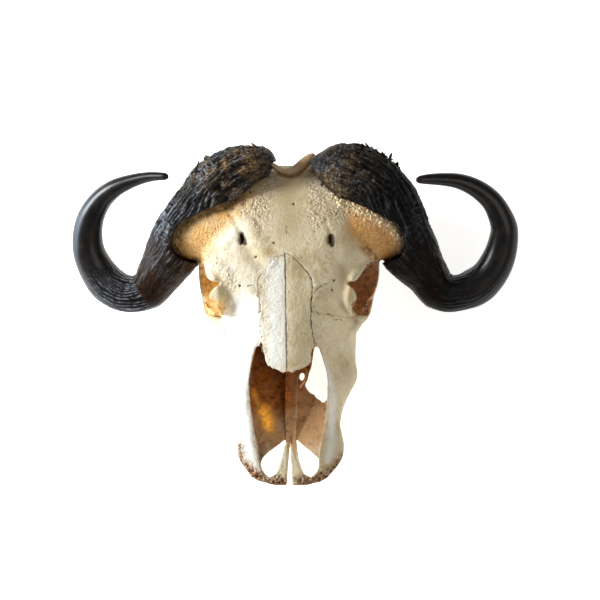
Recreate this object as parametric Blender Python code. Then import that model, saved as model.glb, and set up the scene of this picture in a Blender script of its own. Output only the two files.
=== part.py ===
"""Skull of an African buffalo without its lower jaw, the horn sheaths still on.

The skull lies as it rests, on its upper cheek teeth and on the two processes beside
the occipital condyles. Its nose points to -Y, and the animal's left side is at +X.
Lengths are in millimetres up to the last step, which turns the meshes into metres.

The face is laid out on a plane that leans back by 20 degrees from level: `along` runs
up that plane from the tip of the muzzle to the crown, and `out` is the distance from
it towards a person who looks at the face.
"""
import math

import bmesh
import bpy
import numpy as np
from mathutils import Matrix, Vector

MM = 0.001

# The face plane.
FACE_LEAN = math.radians(20.0)
LEAN_COS = math.cos(FACE_LEAN)
LEAN_SIN = math.sin(FACE_LEAN)
FACE_DATUM = 252.0

# Driving sizes of the head.
MUZZLE_Y = -292.0
NASION_Y = 0.0
NASION_HEIGHT = 190.0
MUZZLE_HALF_WIDTH = 76.0
CHEEK_HALF_WIDTH = 93.0
ORBIT_CENTRE = (107.0, -27.0, 128.0)
ORBIT_RIM = (36.0, 33.0)
ORBIT_RIM_THICKNESS = 6.0
ORBIT_CUP = (30.0, 41.0, 38.0)
ORBIT_HOLLOW = (48.0, 31.0, 28.0)
CHEEK_SKEW = -6.5
SKEW_Y = -40.0
SKEW_SPAN = 62.0
SPLIT_GAP = 0.36
HORN_SEAT_GAP = 0.42
NASAL_THICKNESS = 9.0

# Resolution of the fused bone and of the finished nodes.
VOXEL = 2.6
SMOOTH_STEPS = 4
BONE_TRIANGLES = 7400
RING_POINTS = 44
SLIVER = 0.04


def on_face(across, along, height):
    """Gives a point from its place on the face plane and its height over the floor."""
    return Vector((across, (along - FACE_DATUM - height * LEAN_SIN) / LEAN_COS, height))


def off_face(across, along, out):
    """Gives a point from its place on the face plane and its distance out from it."""
    rise = along - FACE_DATUM
    return Vector((across, rise * LEAN_COS - out * LEAN_SIN, rise * LEAN_SIN + out * LEAN_COS))


def spline(stations, values, at):
    """Reads a smooth curve through the values given at rising stations."""
    stations = np.asarray(stations, float)
    values = np.asarray(values, float)
    at = np.clip(np.asarray(at, float), stations[0], stations[-1])
    slopes = np.gradient(values, stations, axis=0)
    cell = np.clip(np.searchsorted(stations, at, side="right") - 1, 0, len(stations) - 2)
    width = stations[cell + 1] - stations[cell]
    t = (at - stations[cell]) / width
    if values.ndim > 1:
        t = t[:, None]
        width = width[:, None]
    start = (2 * t**3 - 3 * t**2 + 1) * values[cell] + (t**3 - 2 * t**2 + t) * width * slopes[cell]
    end = (3 * t**2 - 2 * t**3) * values[cell + 1] + (t**3 - t**2) * width * slopes[cell + 1]
    return start + end


def path_through(points, count):
    """Spaces points evenly along a smooth curve through a few given ones."""
    points = np.array([tuple(point) for point in points], float)
    lengths = np.linalg.norm(np.diff(points[:, :3], axis=0), axis=1)
    stations = np.concatenate([[0.0], np.cumsum(lengths)])
    return spline(stations, points, np.linspace(0.0, stations[-1], count))


def closed_outline(half, count):
    """Rounds a mirrored half outline, given from the top to the bottom, into one loop."""
    inner = [(-x, z) for x, z in half[-2:0:-1]]
    loop = np.array(list(half) + inner, float)
    wrapped = np.vstack([loop[-2:], loop, loop[:3]])
    steps = np.arange(-2, len(loop) + 3, dtype=float)
    return spline(steps, wrapped, np.linspace(0.0, len(loop), count, endpoint=False))


class Shells:
    """Gathers closed shells that are later fused into one solid."""

    def __init__(self):
        self.bm = bmesh.new()

    def loft(self, rings):
        """Skins a row of rings and caps both ends."""
        loops = [[self.bm.verts.new(point) for point in ring] for ring in rings]
        faces = []
        for lower, upper in zip(loops, loops[1:]):
            for i, vert in enumerate(lower):
                j = (i + 1) % len(lower)
                faces.append(self.bm.faces.new((vert, lower[j], upper[j], upper[i])))
        faces.append(self.bm.faces.new(loops[0][::-1]))
        faces.append(self.bm.faces.new(loops[-1]))
        bmesh.ops.recalc_face_normals(self.bm, faces=faces)

    def ball(self, centre, radii, lean=0.0):
        """Adds an ellipsoid, turned about X by an angle in radians."""
        place = Matrix.Translation(centre) @ Matrix.Rotation(lean, 4, "X") @ Matrix.Diagonal((*radii, 1))
        bmesh.ops.create_uvsphere(self.bm, u_segments=28, v_segments=18, radius=1.0, matrix=place)

    def tube(self, path, radii, up=(0.0, 0.0, 1.0), sides=16):
        """Sweeps an ellipse along a path; radii hold its half width and half height."""
        path = np.asarray(path, float)
        radii = np.broadcast_to(np.asarray(radii, float), (len(path), 2))
        tangents = np.gradient(path, axis=0)
        angles = np.linspace(0.0, 2 * math.pi, sides, endpoint=False)
        rings = []
        for point, tangent, (wide, high) in zip(path, tangents, radii):
            tangent = Vector(tangent).normalized()
            side = tangent.cross(Vector(up)).normalized()
            top = side.cross(tangent)
            rings.append([Vector(point) + side * wide * math.cos(a) + top * high * math.sin(a)
                          for a in angles])
        self.loft(rings)

    def prism(self, outline, low, high):
        """Extrudes an outline on the face plane between two distances out from it.

        The distances are numbers, or functions of a point's place on the plane.
        """
        levels = [level if callable(level) else (lambda x, v, level=level: level)
                  for level in (low, high)]
        self.loft([[off_face(x, v, level(x, v)) for x, v in outline] for level in levels])

    def block(self, low, high):
        """Adds a box between two corners."""
        size = Vector(high) - Vector(low)
        place = Matrix.Translation((Vector(high) + Vector(low)) / 2) @ Matrix.Diagonal((*size, 1))
        bmesh.ops.create_cube(self.bm, size=1.0, matrix=place)

    def finish(self, name):
        """Turns the shells into an object of the scene."""
        mesh = bpy.data.meshes.new(name)
        self.bm.to_mesh(mesh)
        self.bm.free()
        obj = bpy.data.objects.new(name, mesh)
        bpy.context.scene.collection.objects.link(obj)
        return obj


def settle(obj):
    """Bakes an object's modifiers into its mesh."""
    graph = bpy.context.evaluated_depsgraph_get()
    mesh = bpy.data.meshes.new_from_object(obj.evaluated_get(graph))
    obj.modifiers.clear()
    obj.data = mesh
    return obj


def combine(obj, other, operation):
    """Cuts, joins or intersects an object with another one, which is used up."""
    modifier = obj.modifiers.new("Combine", "BOOLEAN")
    modifier.operation = operation
    modifier.solver = "MANIFOLD"
    modifier.object = other
    settle(obj)
    bpy.data.objects.remove(other)
    return obj


def bodies(obj):
    """Lists the closed surfaces of an object as sets of faces with their volumes."""
    bm = bmesh.new()
    bm.from_mesh(obj.data)
    left = set(bm.faces)
    found = []
    while left:
        seed = left.pop()
        island = [seed]
        for face in island:
            for edge in face.edges:
                for near in edge.link_faces:
                    if near in left:
                        left.discard(near)
                        island.append(near)
        volume = 0.0
        for face in island:
            corners = [loop.vert.co for loop in face.loops]
            for second, third in zip(corners[1:], corners[2:]):
                volume += corners[0].dot(second.cross(third)) / 6
        found.append((volume, {face.index for face in island}))
    bm.free()
    return sorted(found, key=lambda body: body[0], reverse=True)


def keep_faces(obj, indices):
    """Deletes every face outside the given set, with what it leaves loose."""
    bm = bmesh.new()
    bm.from_mesh(obj.data)
    bm.faces.ensure_lookup_table()
    lost = [face for face in bm.faces if face.index not in indices]
    bmesh.ops.delete(bm, geom=lost, context="FACES")
    bm.to_mesh(obj.data)
    bm.free()
    return obj


def largest_body(obj):
    """Keeps only the closed surface with the most volume."""
    return keep_faces(obj, bodies(obj)[0][1])


def extent(obj):
    """Gives the lowest and highest corner of an object's mesh."""
    points = np.empty(len(obj.data.vertices) * 3, dtype=np.float32)
    obj.data.vertices.foreach_get("co", points)
    points = points.reshape(-1, 3)
    return points.min(axis=0).astype(float), points.max(axis=0).astype(float)


def copy_of(obj, name):
    """Copies an object with a mesh of its own."""
    twin = obj.copy()
    twin.data = obj.data.copy()
    twin.name = name
    bpy.context.scene.collection.objects.link(twin)
    return twin


# The muzzle and face, from the tip of the muzzle back to behind the orbits. Each row
# holds the place along Y, then height of the crown, edge of the roof, side wall,
# widest place and gum as (half width, height), and the height of the palate.
FACE_SECTIONS = (
    (MUZZLE_Y, 45, (14, 45), (20, 44), (24, 42), (20, 38), 37),
    (-287, 48, (24, 48), (36, 46), (43, 43), (36, 37), 36),
    (-272, 55, (30, 54), (48, 50), (61, 44), (50, 36), 35),
    (-250, 66, (34, 64), (58, 54), (75, 45), (62, 36), 34),
    (-234, 73, (38, 71), (60, 58), (MUZZLE_HALF_WIDTH, 48), (64, 36), 34),
    (-202, 90, (44, 86), (60, 69), (69, 54), (62, 38), 34),
    (-170, 108, (46, 102), (66, 82), (77, 60), (68, 36), 32),
    (-140, 124, (42, 118), (66, 92), (CHEEK_HALF_WIDTH, 62), (76, 30), 30),
    (-112, 138, (38, 132), (66, 100), (90, 64), (78, 26), 30),
    (-85, 151, (40, 146), (74, 112), (91, 70), (80, 24), 30),
    (-55, 165, (46, 161), (84, 126), (97, 86), (80, 24), 32),
    (-25, 178, (68, 172), (94, 150), (98, 100), (72, 28), 36),
    (NASION_Y, NASION_HEIGHT, (70, 180), (88, 150), (76, 105), (52, 42), 42),
    (30, 170, (46, 160), (54, 130), (48, 95), (30, 52), 46),
)

# The roof of the skull over the orbits and the brain: place along Y, height on the
# midline, then shoulder, brow and edge as (half width, height), and its underside.
ROOF_SECTIONS = (
    (-55, 163, (44, 160), (74, 146), (80, 136), 118),
    (-30, 176, (52, 173), (90, 160), (95, 149), 118),
    (-5, 188, (60, 184), (97, 170), (103, 152), 118),
    (15, 193, (62, 190), (104, 173), (121, 147), 116),
    (45, 196, (62, 194), (100, 179), (121, 148), 112),
    (80, 190, (60, 190), (94, 173), (110, 138), 104),
    (108, 173, (50, 175), (80, 160), (92, 128), 96),
    (130, 150, (34, 154), (62, 140), (74, 108), 88),
)

# The back of the skull, from its crest down to the joint with the neck.
OCCIPUT = ((0, 150), (34, 148), (66, 130), (90, 98), (96, 72), (74, 50), (34, 40), (0, 40))

# The crest between the horns, which rises on the animal's left: across, along, height.
NUCHAL_CREST = ((-26, 437, 148), (-8, 430, 150), (8, 428, 152), (20, 434, 154), (28, 443, 156))
NUCHAL_CREST_RADII = (8.0, 8.0)

# The inside of the nose keeps these distances from the outer skin.
WALL = 8.0
PALATE = 9.0
CAVITY_FROM = -262.0
CAVITY_TO = -62.0

# Upper cheek teeth from the first to the last, as lengths along the row.
TOOTH_LENGTHS = (16, 19, 20, 25, 29, 31)
TOOTH_ROW_START = -151.0
TOOTH_WIDTHS = (17, 20, 22, 25, 26, 24)
TOOTH_LINE = (57.0, 62.0, 64.0)
TOOTH_ROOT = 40.0
TOOTH_GAP = 0.6

# Outlines on the face plane, for the side at +X, as (across, along).
NASAL_SUTURE = ((0, 318), (9, 314), (20, 303), (33, 289), (37, 278), (37, 262), (34, 250),
                (34, 226), (37, 200), (38, 189))
NASAL_TIP = ((36, 176), (32, 164), (22, 158), (12, 156), (6, 152), (0, 155))
APERTURE = ((44, 187), (51, 165), (55, 142), (54.5, 121), (53, 100), (50, 79), (46, 58), (42, 40))
FISSURE = ((7, 55), (18, 46), (31, 37), (41, 27), (42, 18), (37, 8), (29, 2), (20, 7), (14, 19),
           (10, 32), (8, 45))
PALATE_HOLE = ((28, 186), (39, 178), (47, 163), (52, 145), (51, 124), (45, 114), (31, 123),
               (18, 131), (18, 138), (25, 150))
HORN_WINDOW = ((27, 446), (38, 426), (52, 411), (70, 393), (92, 388), (121, 375), (152, 359),
               (164, 342), (167, 329), (163, 317), (152, 308), (126, 302))
SUPRAORBITAL_HOLE = (61.0, 337.0)

# The maxilla's seam against the cheek and palate bones, in side view as (Y, height).
MAXILLA_SEAM = ((-80, 190), (-70, 132), (-66, 104), (-48, 84), (-18, 66), (9, 52), (12, 10))
PREMAXILLA_SEAM = ((-138, 128), (-168, 92), (-196, 70), (-214, 52), (-222, 20))

# The front and upper edge of the eye socket, with its notch, and its inner outer wall.
ORBIT_EDGE = ((119, 305), (115, 301), (107, 285), (101, 279), (88, 278), (88, 275), (99, 268),
              (103.5, 258), (101, 249), (92, 241), (92, 234), (98, 227), (108, 229), (113, 241),
              (118, 256), (122, 275), (122, 292))
ORBIT_EDGE_FLOOR = 116.0

# The bony base of the horn: across, along, height, half width and depth.
CORE_LINE = (
    (40, 350, 150, 46, 34),
    (75, 353, 148, 47, 40),
    (110, 353, 143, 46, 42),
    (140, 345, 137, 40, 37),
    (160, 337, 131, 30, 29),
    (172, 331, 127, 14, 14),
)
CORE_RINGS = 16
CORE_SIDES = 24

# The lines of both horns, which have grown unlike: across, along, height, half width in
# the face plane, and depth. Each runs from the crown over the boss and round the hook.
HORN_LINES = {
    "horn_right": (
        (23, 444, 163, 8, 9),
        (30, 444, 166, 21, 21),
        (46, 438, 169, 33, 34),
        (74, 427, 170, 42, 44),
        (99, 410, 165, 44, 48),
        (124, 381, 155, 42, 47),
        (150, 347, 142, 43, 46),
        (172, 313, 124, 38, 40),
        (190, 286, 108, 32, 34),
        (205, 267, 98, 28, 30),
        (222, 260, 95, 26.5, 27),
        (244, 261, 94, 27, 28),
        (264, 273, 97, 27.5, 28),
        (280, 294, 106, 25.5, 26),
        (290, 320, 122, 23, 24),
        (290, 348, 140, 21, 21),
        (284, 369, 153, 19, 19),
        (269, 392, 168, 16, 17),
        (250, 407, 183, 13.5, 14),
        (217, 420, 200, 9.5, 10),
        (190, 425, 213, 7, 7),
        (163, 425, 225, 5, 5),
    ),
    "horn_left": (
        (23, 444, 163, 8, 9),
        (30, 444, 166, 21, 21),
        (46, 438, 169, 33, 34),
        (75, 430, 170, 43, 45),
        (107, 416, 165, 46, 50),
        (135, 388, 155, 45, 49),
        (157, 347, 142, 42, 45),
        (176, 312, 124, 37, 38),
        (192, 286, 108, 31, 33),
        (206, 267, 98, 28, 30),
        (220, 260, 95, 26.5, 27),
        (237, 261, 94, 25.5, 26),
        (261, 270, 96, 27, 28),
        (277, 284, 103, 25, 26),
        (290, 305, 114, 23.5, 24),
        (298, 330, 129, 21, 21),
        (300, 351, 142, 19, 20),
        (294, 370, 155, 17, 17.5),
        (283, 389, 168, 15, 15),
        (266, 404, 180, 13.5, 14),
        (240, 416, 195, 11, 11.5),
        (217, 419, 208, 9, 9),
        (194, 419, 219, 7, 7),
        (180, 418, 226, 5.5, 5.5),
    ),
}
HORN_WINDOW_LOOP = (*HORN_WINDOW, (60, 296), (0, 300), (-2, 446))
WINDOW_DEPTH = 100.0
HORN_RINGS = 40
HORN_SIDES = 20
KEEL_HEIGHT = 0.13
KEEL_PLACE = 0.46
KEEL_ANGLE = 1.1
SEAM_REACH = 180.0
OUTSIDE = 260.0
NASAL_TIP_OUT = 164.4
NASAL_TIP_ALONG = 162.8
NASAL_RISE = 0.0914
NASAL_FALL = 0.12

BONE_LOOK = ((0.78, 0.68, 0.50), 0.6)
HORN_LOOK = ((0.035, 0.028, 0.024), 0.45)


def face_outline(row, inset=0.0, lift=0.0):
    """Gives the half outline of one face section, or of the hollow inside it."""
    crown, palate = row[0], row[9]
    pairs = [(row[1], row[2]), (row[3], row[4]), (row[5], row[6]), (row[7], row[8])]
    half = [(0.0, crown - inset)]
    for i, (x, z) in enumerate(pairs):
        low = i == len(pairs) - 1
        half.append((x - inset * (1.9 if low else 1.1), max(z, palate + lift + 2) if inset else z))
    half[1] = (half[1][0], half[1][1] - inset * 0.9)
    half.append((0.0, palate + lift))
    return half


def face_rings(first, last, step, inset=0.0, lift=0.0):
    """Reads rings of the face between two places along Y."""
    places = [row[0] for row in FACE_SECTIONS]
    rows = [[row[1], *row[2], *row[3], *row[4], *row[5], row[6]] for row in FACE_SECTIONS]
    rings = []
    for y in np.arange(first, last + 0.5 * step, step):
        row = spline(places, rows, [y])[0]
        outline = closed_outline(face_outline(row, inset, lift), RING_POINTS)
        rings.append([(x, y, z) for x, z in outline])
    return rings


def roof_rings(step=7.0):
    """Reads rings of the skull's roof."""
    places = [row[0] for row in ROOF_SECTIONS]
    rows = [[row[1], *row[2], *row[3], *row[4], row[5]] for row in ROOF_SECTIONS]
    rings = []
    for y in np.arange(places[0], places[-1] + 0.5 * step, step):
        top, x1, z1, x2, z2, x3, z3, under = spline(places, rows, [y])[0]
        half = [(0.0, top), (x1, z1), (x2, z2), (x3, z3), (x3 * 0.6, under), (0.0, under)]
        rings.append([(x, y, z) for x, z in closed_outline(half, RING_POINTS)])
    return rings


def tilted_rings(line, count, sides):
    """Reads rings that lie along a line given on the face plane, with its tangents."""
    rows = np.array([(*on_face(x, v, z), wide, deep) for x, v, z, wide, deep in line])
    rows = path_through(rows, count)
    tangents = np.gradient(rows[:, :3], axis=0)
    outward = Vector((0.0, -LEAN_SIN, LEAN_COS))
    angles = np.linspace(0.0, 2 * math.pi, sides, endpoint=False)
    for k, (row, tangent) in enumerate(zip(rows, tangents)):
        tangent = Vector(tangent).normalized()
        across = outward.cross(tangent).normalized()
        front = tangent.cross(across)
        yield k / (count - 1), row, across, front, angles


def add_horn_core(shells, side):
    """Adds the bony base that carries one horn."""
    rings = []
    for share, row, across, front, angles in tilted_rings(CORE_LINE, CORE_RINGS, CORE_SIDES):
        ring = []
        for angle in angles:
            point = (Vector(row[:3]) + across * row[3] * math.cos(angle)
                     + front * row[4] * math.sin(angle))
            ring.append((side * point.x, point.y, point.z))
        rings.append(ring)
    shells.loft(rings)


def add_orbit(shells, side):
    """Adds the ring of bone round one eye socket, leaning out at its foot and back."""
    x, y, z = ORBIT_CENTRE
    path = []
    for angle in np.linspace(0.0, 2 * math.pi, 33):
        dy = ORBIT_RIM[0] * math.cos(angle)
        dz = ORBIT_RIM[1] * math.sin(angle)
        path.append((side * (x + 0.38 * dy - 0.32 * dz), y + dy, z + dz))
    for start in (0, 16):
        shells.tube(path[start:start + 17], (ORBIT_RIM_THICKNESS, ORBIT_RIM_THICKNESS),
                    up=(side, 0.0, 0.0), sides=10)
    for dy in (-ORBIT_RIM[0], ORBIT_RIM[0]):
        place = (side * (x + 0.38 * dy), y + dy, z)
        shells.ball(place, (ORBIT_RIM_THICKNESS + 1,) * 3)
    shells.ball((side * 93, -50, 140), (9, 12, 14), lean=FACE_LEAN)
    shells.ball((side * (x - 11), y + 1, z - 2), ORBIT_CUP)


def add_cheek_arch(shells, side):
    """Adds the zygomatic arch and the bar behind the eye."""
    arch = path_through([(side * x, y, z) for x, y, z in (
        (90, -78, 84), (108, -50, 90), (118, -22, 92), (121, 8, 93), (113, 42, 92),
        (98, 74, 89), (78, 100, 88))], 26)
    radii = spline([0, 0.45, 1], [(7, 12), (7, 10), (7, 9)], np.linspace(0, 1, len(arch)))
    shells.tube(arch, radii)
    shells.ball((side * 102, -26, 87), (21, 44, 12))
    bar = path_through([(side * 112, 18, 156), (side * 115, 14, 124), (side * 114, 8, 92)], 10)
    shells.tube(bar, (6, 13), up=(side, 0, 0))


def add_brain_end(shells, side):
    """Adds the parts round the brain and the joint with the neck, for one side."""
    shells.ball((side * 27, 154, 58), (17, 15, 24), lean=math.radians(-20))
    shells.ball((side * 46, 106, 46), (13, 18, 20))
    process = path_through([(side * 66, 130, 72), (side * 62, 140, 34), (side * 57, 145, -3)], 10)
    shells.tube(process, spline([0, 0.6, 1], [(16, 22), (9, 13), (5, 8)],
                                np.linspace(0, 1, len(process))), up=(0, 1, 0))
    shells.ball((side * 78, 112, 84), (22, 24, 20))
    wing = path_through([(side * 22, -12, 62), (side * 20, 20, 66), (side * 20, 52, 70)], 8)
    shells.tube(wing, (4, 25))


def tooth_rows(side):
    """Yields centre, half size and turn of each cheek tooth on one side."""
    y = TOOTH_ROW_START
    whole = sum(TOOTH_LENGTHS)
    for length, width in zip(TOOTH_LENGTHS, TOOTH_WIDTHS):
        share = (y + length / 2 - TOOTH_ROW_START) / whole
        across = spline([0, 0.5, 1], TOOTH_LINE, [share])[0]
        yield side * across, y + length / 2, length, width
        y += length


def cheek_tooth(x, y, length, width):
    """Makes one cheek tooth: two lobes in plan, flat crown, root deep in the gum."""
    shells = Shells()
    rings = []
    for height, share in ((-3, 0.92), (5, 1.0), (18, 0.96), (TOOTH_ROOT, 0.78)):
        ring = []
        for angle in np.linspace(0, 2 * math.pi, 16, endpoint=False):
            c, s = math.cos(angle), math.sin(angle)
            waist = 1 - 0.16 * math.exp(-(s / 0.28) ** 2) if length > 20 else 1.0
            dx = math.copysign(abs(c) ** 0.7, c) * width / 2 * share * waist
            dy = math.copysign(abs(s) ** 0.7, s) * (length / 2 - TOOTH_GAP) * share
            ring.append((x + dx, y + dy, height))
        rings.append(ring)
    shells.loft(rings)
    return shells.finish("tooth")


def build_bone():
    """Fuses all the bone of the skull into one solid."""
    shells = Shells()
    shells.loft(face_rings(MUZZLE_Y, 30.0, 6.0))
    shells.loft(roof_rings())
    shells.ball((0, 88, 118), (66, 62, 60))
    shells.loft([[(x * share, y, 88 + (z - 88) * share) for x, z in closed_outline(OCCIPUT, RING_POINTS)]
                 for y, share in ((104, 0.80), (118, 0.98), (138, 1.0), (149, 0.90), (153, 0.74))])
    shells.tube(path_through([(0, 150, 50), (0, 100, 46), (0, 30, 58)], 12), (22, 15))
    crest = path_through([on_face(*point) for point in NUCHAL_CREST], 14)
    shells.tube(crest, NUCHAL_CREST_RADII, up=(0, 1, 0))
    for side in (-1, 1):
        add_horn_core(shells, side)
        add_orbit(shells, side)
        add_cheek_arch(shells, side)
        add_brain_end(shells, side)
    bone = shells.finish("bone")
    remesh = bone.modifiers.new("Fuse", "REMESH")
    remesh.mode = "VOXEL"
    remesh.voxel_size = VOXEL
    smooth = bone.modifiers.new("Soften", "SMOOTH")
    smooth.factor = 0.5
    smooth.iterations = SMOOTH_STEPS
    return settle(bone)


def aperture_outline():
    """Outlines the bony opening of the nose on the face plane."""
    right = [*NASAL_SUTURE[-1:], *APERTURE, *FISSURE[3:6]]
    rods = [(18, 8), (13, 22), (9, 38), (6, 50), (0, 54)]
    half = [*reversed(NASAL_TIP), *right, *rods]
    return half + [(-x, v) for x, v in half[-2:0:-1]]


def mirrored(outline, side):
    """Mirrors an outline for the side at -X."""
    return [(side * x, v) for x, v in outline][::side]


def hollow_bone(bone):
    """Opens the nose, the eye sockets, the palate and the hole for the spinal cord."""
    cavity = Shells()
    cavity.loft(face_rings(CAVITY_FROM, CAVITY_TO, 6.0, WALL, PALATE))
    combine(bone, cavity.finish("cavity"), "DIFFERENCE")
    mouth = Shells()
    mouth.prism(aperture_outline(), 128.0, 220.0)
    combine(bone, mouth.finish("mouth"), "DIFFERENCE")
    for side in (-1, 1):
        fissure = Shells()
        fissure.prism(mirrored(FISSURE, side), 60.0, 150.0)
        combine(bone, fissure.finish("fissure"), "DIFFERENCE")
        socket = Shells()
        x, y, z = ORBIT_CENTRE
        socket.ball((side * (x + 11), y - 1, z + 1), ORBIT_HOLLOW)
        combine(bone, socket.finish("socket"), "DIFFERENCE")
        edge = Shells()
        edge.prism(mirrored(ORBIT_EDGE, side), ORBIT_EDGE_FLOOR, OUTSIDE)
        combine(bone, edge.finish("edge"), "DIFFERENCE")
        hole = Shells()
        across, along = SUPRAORBITAL_HOLE
        hole.ball(on_face(side * across, along, 190), (3.6, 8, 16), lean=FACE_LEAN)
        combine(bone, hole.finish("hole"), "DIFFERENCE")
    window = Shells()
    window.prism(PALATE_HOLE, 40.0, 118.0)
    combine(bone, window.finish("window"), "DIFFERENCE")
    cord = Shells()
    cord.tube([(0, 100, 84), (0, 135, 78), (0, 190, 68)], (19, 17))
    combine(bone, cord.finish("cord"), "DIFFERENCE")
    throat = Shells()
    throat.tube([(0, -30, 62), (0, 0, 60), (0, 40, 40), (0, 70, 20)], [(15, 22), (16, 22), (15, 16), (15, 16)])
    combine(bone, throat.finish("throat"), "DIFFERENCE")
    return largest_body(bone)


def lightened(obj, triangles):
    """Thins out a mesh to about the given number of triangles."""
    decimate = obj.modifiers.new("Lighten", "DECIMATE")
    decimate.ratio = triangles / sum(len(face.vertices) - 2 for face in obj.data.polygons)
    return settle(obj)


def set_teeth(bone):
    """Fuses both rows of cheek teeth into the bone and levels what meets the floor."""
    for side in (-1, 1):
        for tooth in tooth_rows(side):
            combine(bone, cheek_tooth(*tooth), "UNION")
    floor = Shells()
    floor.block((-400, -400, -60), (400, 400, 0))
    combine(bone, floor.finish("floor"), "DIFFERENCE")
    return largest_body(bone)


def grown(outline, distance):
    """Moves the sides of an outline outwards, whichever way round it runs."""
    points = np.array(outline, float)
    edges = np.roll(points, -1, axis=0) - points
    area = np.sum(points[:, 0] * edges[:, 1] - edges[:, 0] * points[:, 1])
    edges /= np.linalg.norm(edges, axis=1)[:, None]
    after = np.stack([edges[:, 1], -edges[:, 0]], axis=1) * np.sign(area)
    before = np.roll(after, 1, axis=0)
    mitre = (after + before) / (1 + np.sum(after * before, axis=1))[:, None]
    return [tuple(point) for point in points + mitre * distance]


def nasal_floor(side, thickness):
    """Gives the flat underside of one nasal bone, falling to its outer edge."""
    def level(x, v):
        rise = NASAL_RISE * (v - NASAL_TIP_ALONG)
        return NASAL_TIP_OUT + rise - NASAL_FALL * side * x - thickness
    return level


def nasal_cutter(side, growth):
    """Makes the prism that holds one nasal bone, or the slightly larger bed for it."""
    half = [*NASAL_SUTURE, *NASAL_TIP]
    outline = grown(half, growth) if growth else [(max(x, SPLIT_GAP / 2), v) for x, v in half]
    cutter = Shells()
    cutter.prism(mirrored(outline, side), nasal_floor(side, NASAL_THICKNESS + growth), OUTSIDE)
    return cutter.finish("cutter")


def take_nasals(bone):
    """Parts the two nasal bones from the face along their sutures."""
    nasals = []
    for side, name in ((-1, "nasal_right"), (1, "nasal_left")):
        piece = copy_of(bone, name)
        nasals.append(largest_body(combine(piece, nasal_cutter(side, 0.0), "INTERSECT")))
    for side in (-1, 1):
        combine(bone, nasal_cutter(side, SPLIT_GAP), "DIFFERENCE")
    return nasals


def seam_wall(profile):
    """Makes a thin upright sheet across the skull from its line in side view."""
    points = np.array(profile, float)
    along = np.gradient(points, axis=0)
    along /= np.linalg.norm(along, axis=1)[:, None]
    normal = np.stack([along[:, 1], -along[:, 0]], axis=1) * SPLIT_GAP / 2
    loop = [*(points + normal), *(points - normal)[::-1]]
    shells = Shells()
    shells.loft([[(x, y, z) for y, z in loop] for x in (-SEAM_REACH, SEAM_REACH)])
    return shells.finish("seam")


def part_at(obj, wall):
    """Cuts an object with a thin wall and gives back its two largest bodies."""
    combine(obj, wall, "DIFFERENCE")
    found = bodies(obj)[:2]
    other = copy_of(obj, "other")
    keep_faces(obj, found[0][1])
    keep_faces(other, found[1][1])
    return obj, other


def part_midline(obj, left, right, half_width):
    """Parts a piece along the midline; the gap's half width may depend on the place."""
    stations = (-40.0, 0.0, 14.0, 52.0, 60.0, 420.0)
    outline = [(half_width(v), v) for v in stations] + [(-half_width(v), v) for v in stations[::-1]]
    wall = Shells()
    wall.prism(outline, -60.0, OUTSIDE)
    one, two = part_at(obj, wall.finish("wall"))
    for piece in (one, two):
        low, high = extent(piece)
        piece.name = left if low[0] + high[0] > 0 else right
    return [one, two]


def hairline(v):
    """Gives the half width of a plain seam."""
    return SPLIT_GAP / 2


def muzzle_gap(v):
    """Gives half the gap between the premaxillae, which widens towards the tip."""
    return max(SPLIT_GAP / 2, 1.5 + 2.6 * (52.0 - v) / 52.0) if v < 60.0 else SPLIT_GAP / 2


def foremost(obj):
    """Gives how far back an object's front end lies, for sorting."""
    return extent(obj)[0][1]


def part_bones(bone):
    """Parts the fused bone into the bones that a person would name, cranium first."""
    nasals = take_nasals(bone)
    vomer = build_vomer(bone)
    face, cranium = sorted(part_at(bone, seam_wall(MAXILLA_SEAM)), key=foremost)
    cranium.name = "cranium"
    tip, cheeks = sorted(part_at(face, seam_wall(PREMAXILLA_SEAM)), key=foremost)
    maxillae = part_midline(cheeks, "maxilla_left", "maxilla_right", hairline)
    premaxillae = part_midline(tip, "premaxilla_left", "premaxilla_right", muzzle_gap)
    return [cranium, *nasals, vomer, *maxillae, *premaxillae]


def seat(obj, bone):
    """Carves an object to sit on a bone with a hair's breadth between them."""
    bed = copy_of(bone, "bed")
    swell = bed.modifiers.new("Swell", "DISPLACE")
    swell.mid_level = 0.0
    swell.strength = HORN_SEAT_GAP
    settle(bed)
    return combine(obj, bed, "DIFFERENCE")


def build_vomer(face):
    """Makes the blade along the floor of the nose with a trough on its top."""
    line = [(y, spline([-218, -64], [50, 78], [y])[0]) for y in np.linspace(-219, -64, 12)]
    half = ((0, -5), (3, -4), (6.5, 0), (4.5, -7), (2.2, -14), (4, -60))
    shells = Shells()
    rings = []
    for y, top in line:
        ring = [(x, y, max(top + z, 30.0)) for x, z in half]
        rings.append(ring + [(-x, y, z) for x, y, z in ring[:0:-1]])
    shells.loft(rings)
    return largest_body(seat(shells.finish("vomer"), face))


def horn_rings(side, line):
    """Reads the rings of one horn from its inner end on the crown to its tip."""
    rings = []
    for share, row, across, front, angles in tilted_rings(line, HORN_RINGS, HORN_SIDES):
        keel = KEEL_HEIGHT * math.exp(-((share - KEEL_PLACE) / 0.06) ** 2)
        ring = []
        for angle in angles:
            swell = 1 + keel * math.exp(-((angle - KEEL_ANGLE) / 0.4) ** 2)
            point = (Vector(row[:3]) + across * row[3] * math.cos(angle) * swell
                     + front * row[4] * math.sin(angle) * swell)
            ring.append((side * point.x, point.y, point.z))
        rings.append(ring)
    return rings


def build_horn(side, name, cranium):
    """Makes one horn sheath, open in front over the bone that shows, and seats it."""
    shells = Shells()
    shells.loft(horn_rings(side, HORN_LINES[name]))
    horn = shells.finish(name)
    window = Shells()
    window.prism(mirrored(HORN_WINDOW_LOOP, side), WINDOW_DEPTH, OUTSIDE)
    combine(horn, window.finish("window"), "DIFFERENCE")
    return largest_body(seat(horn, cranium))


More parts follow.
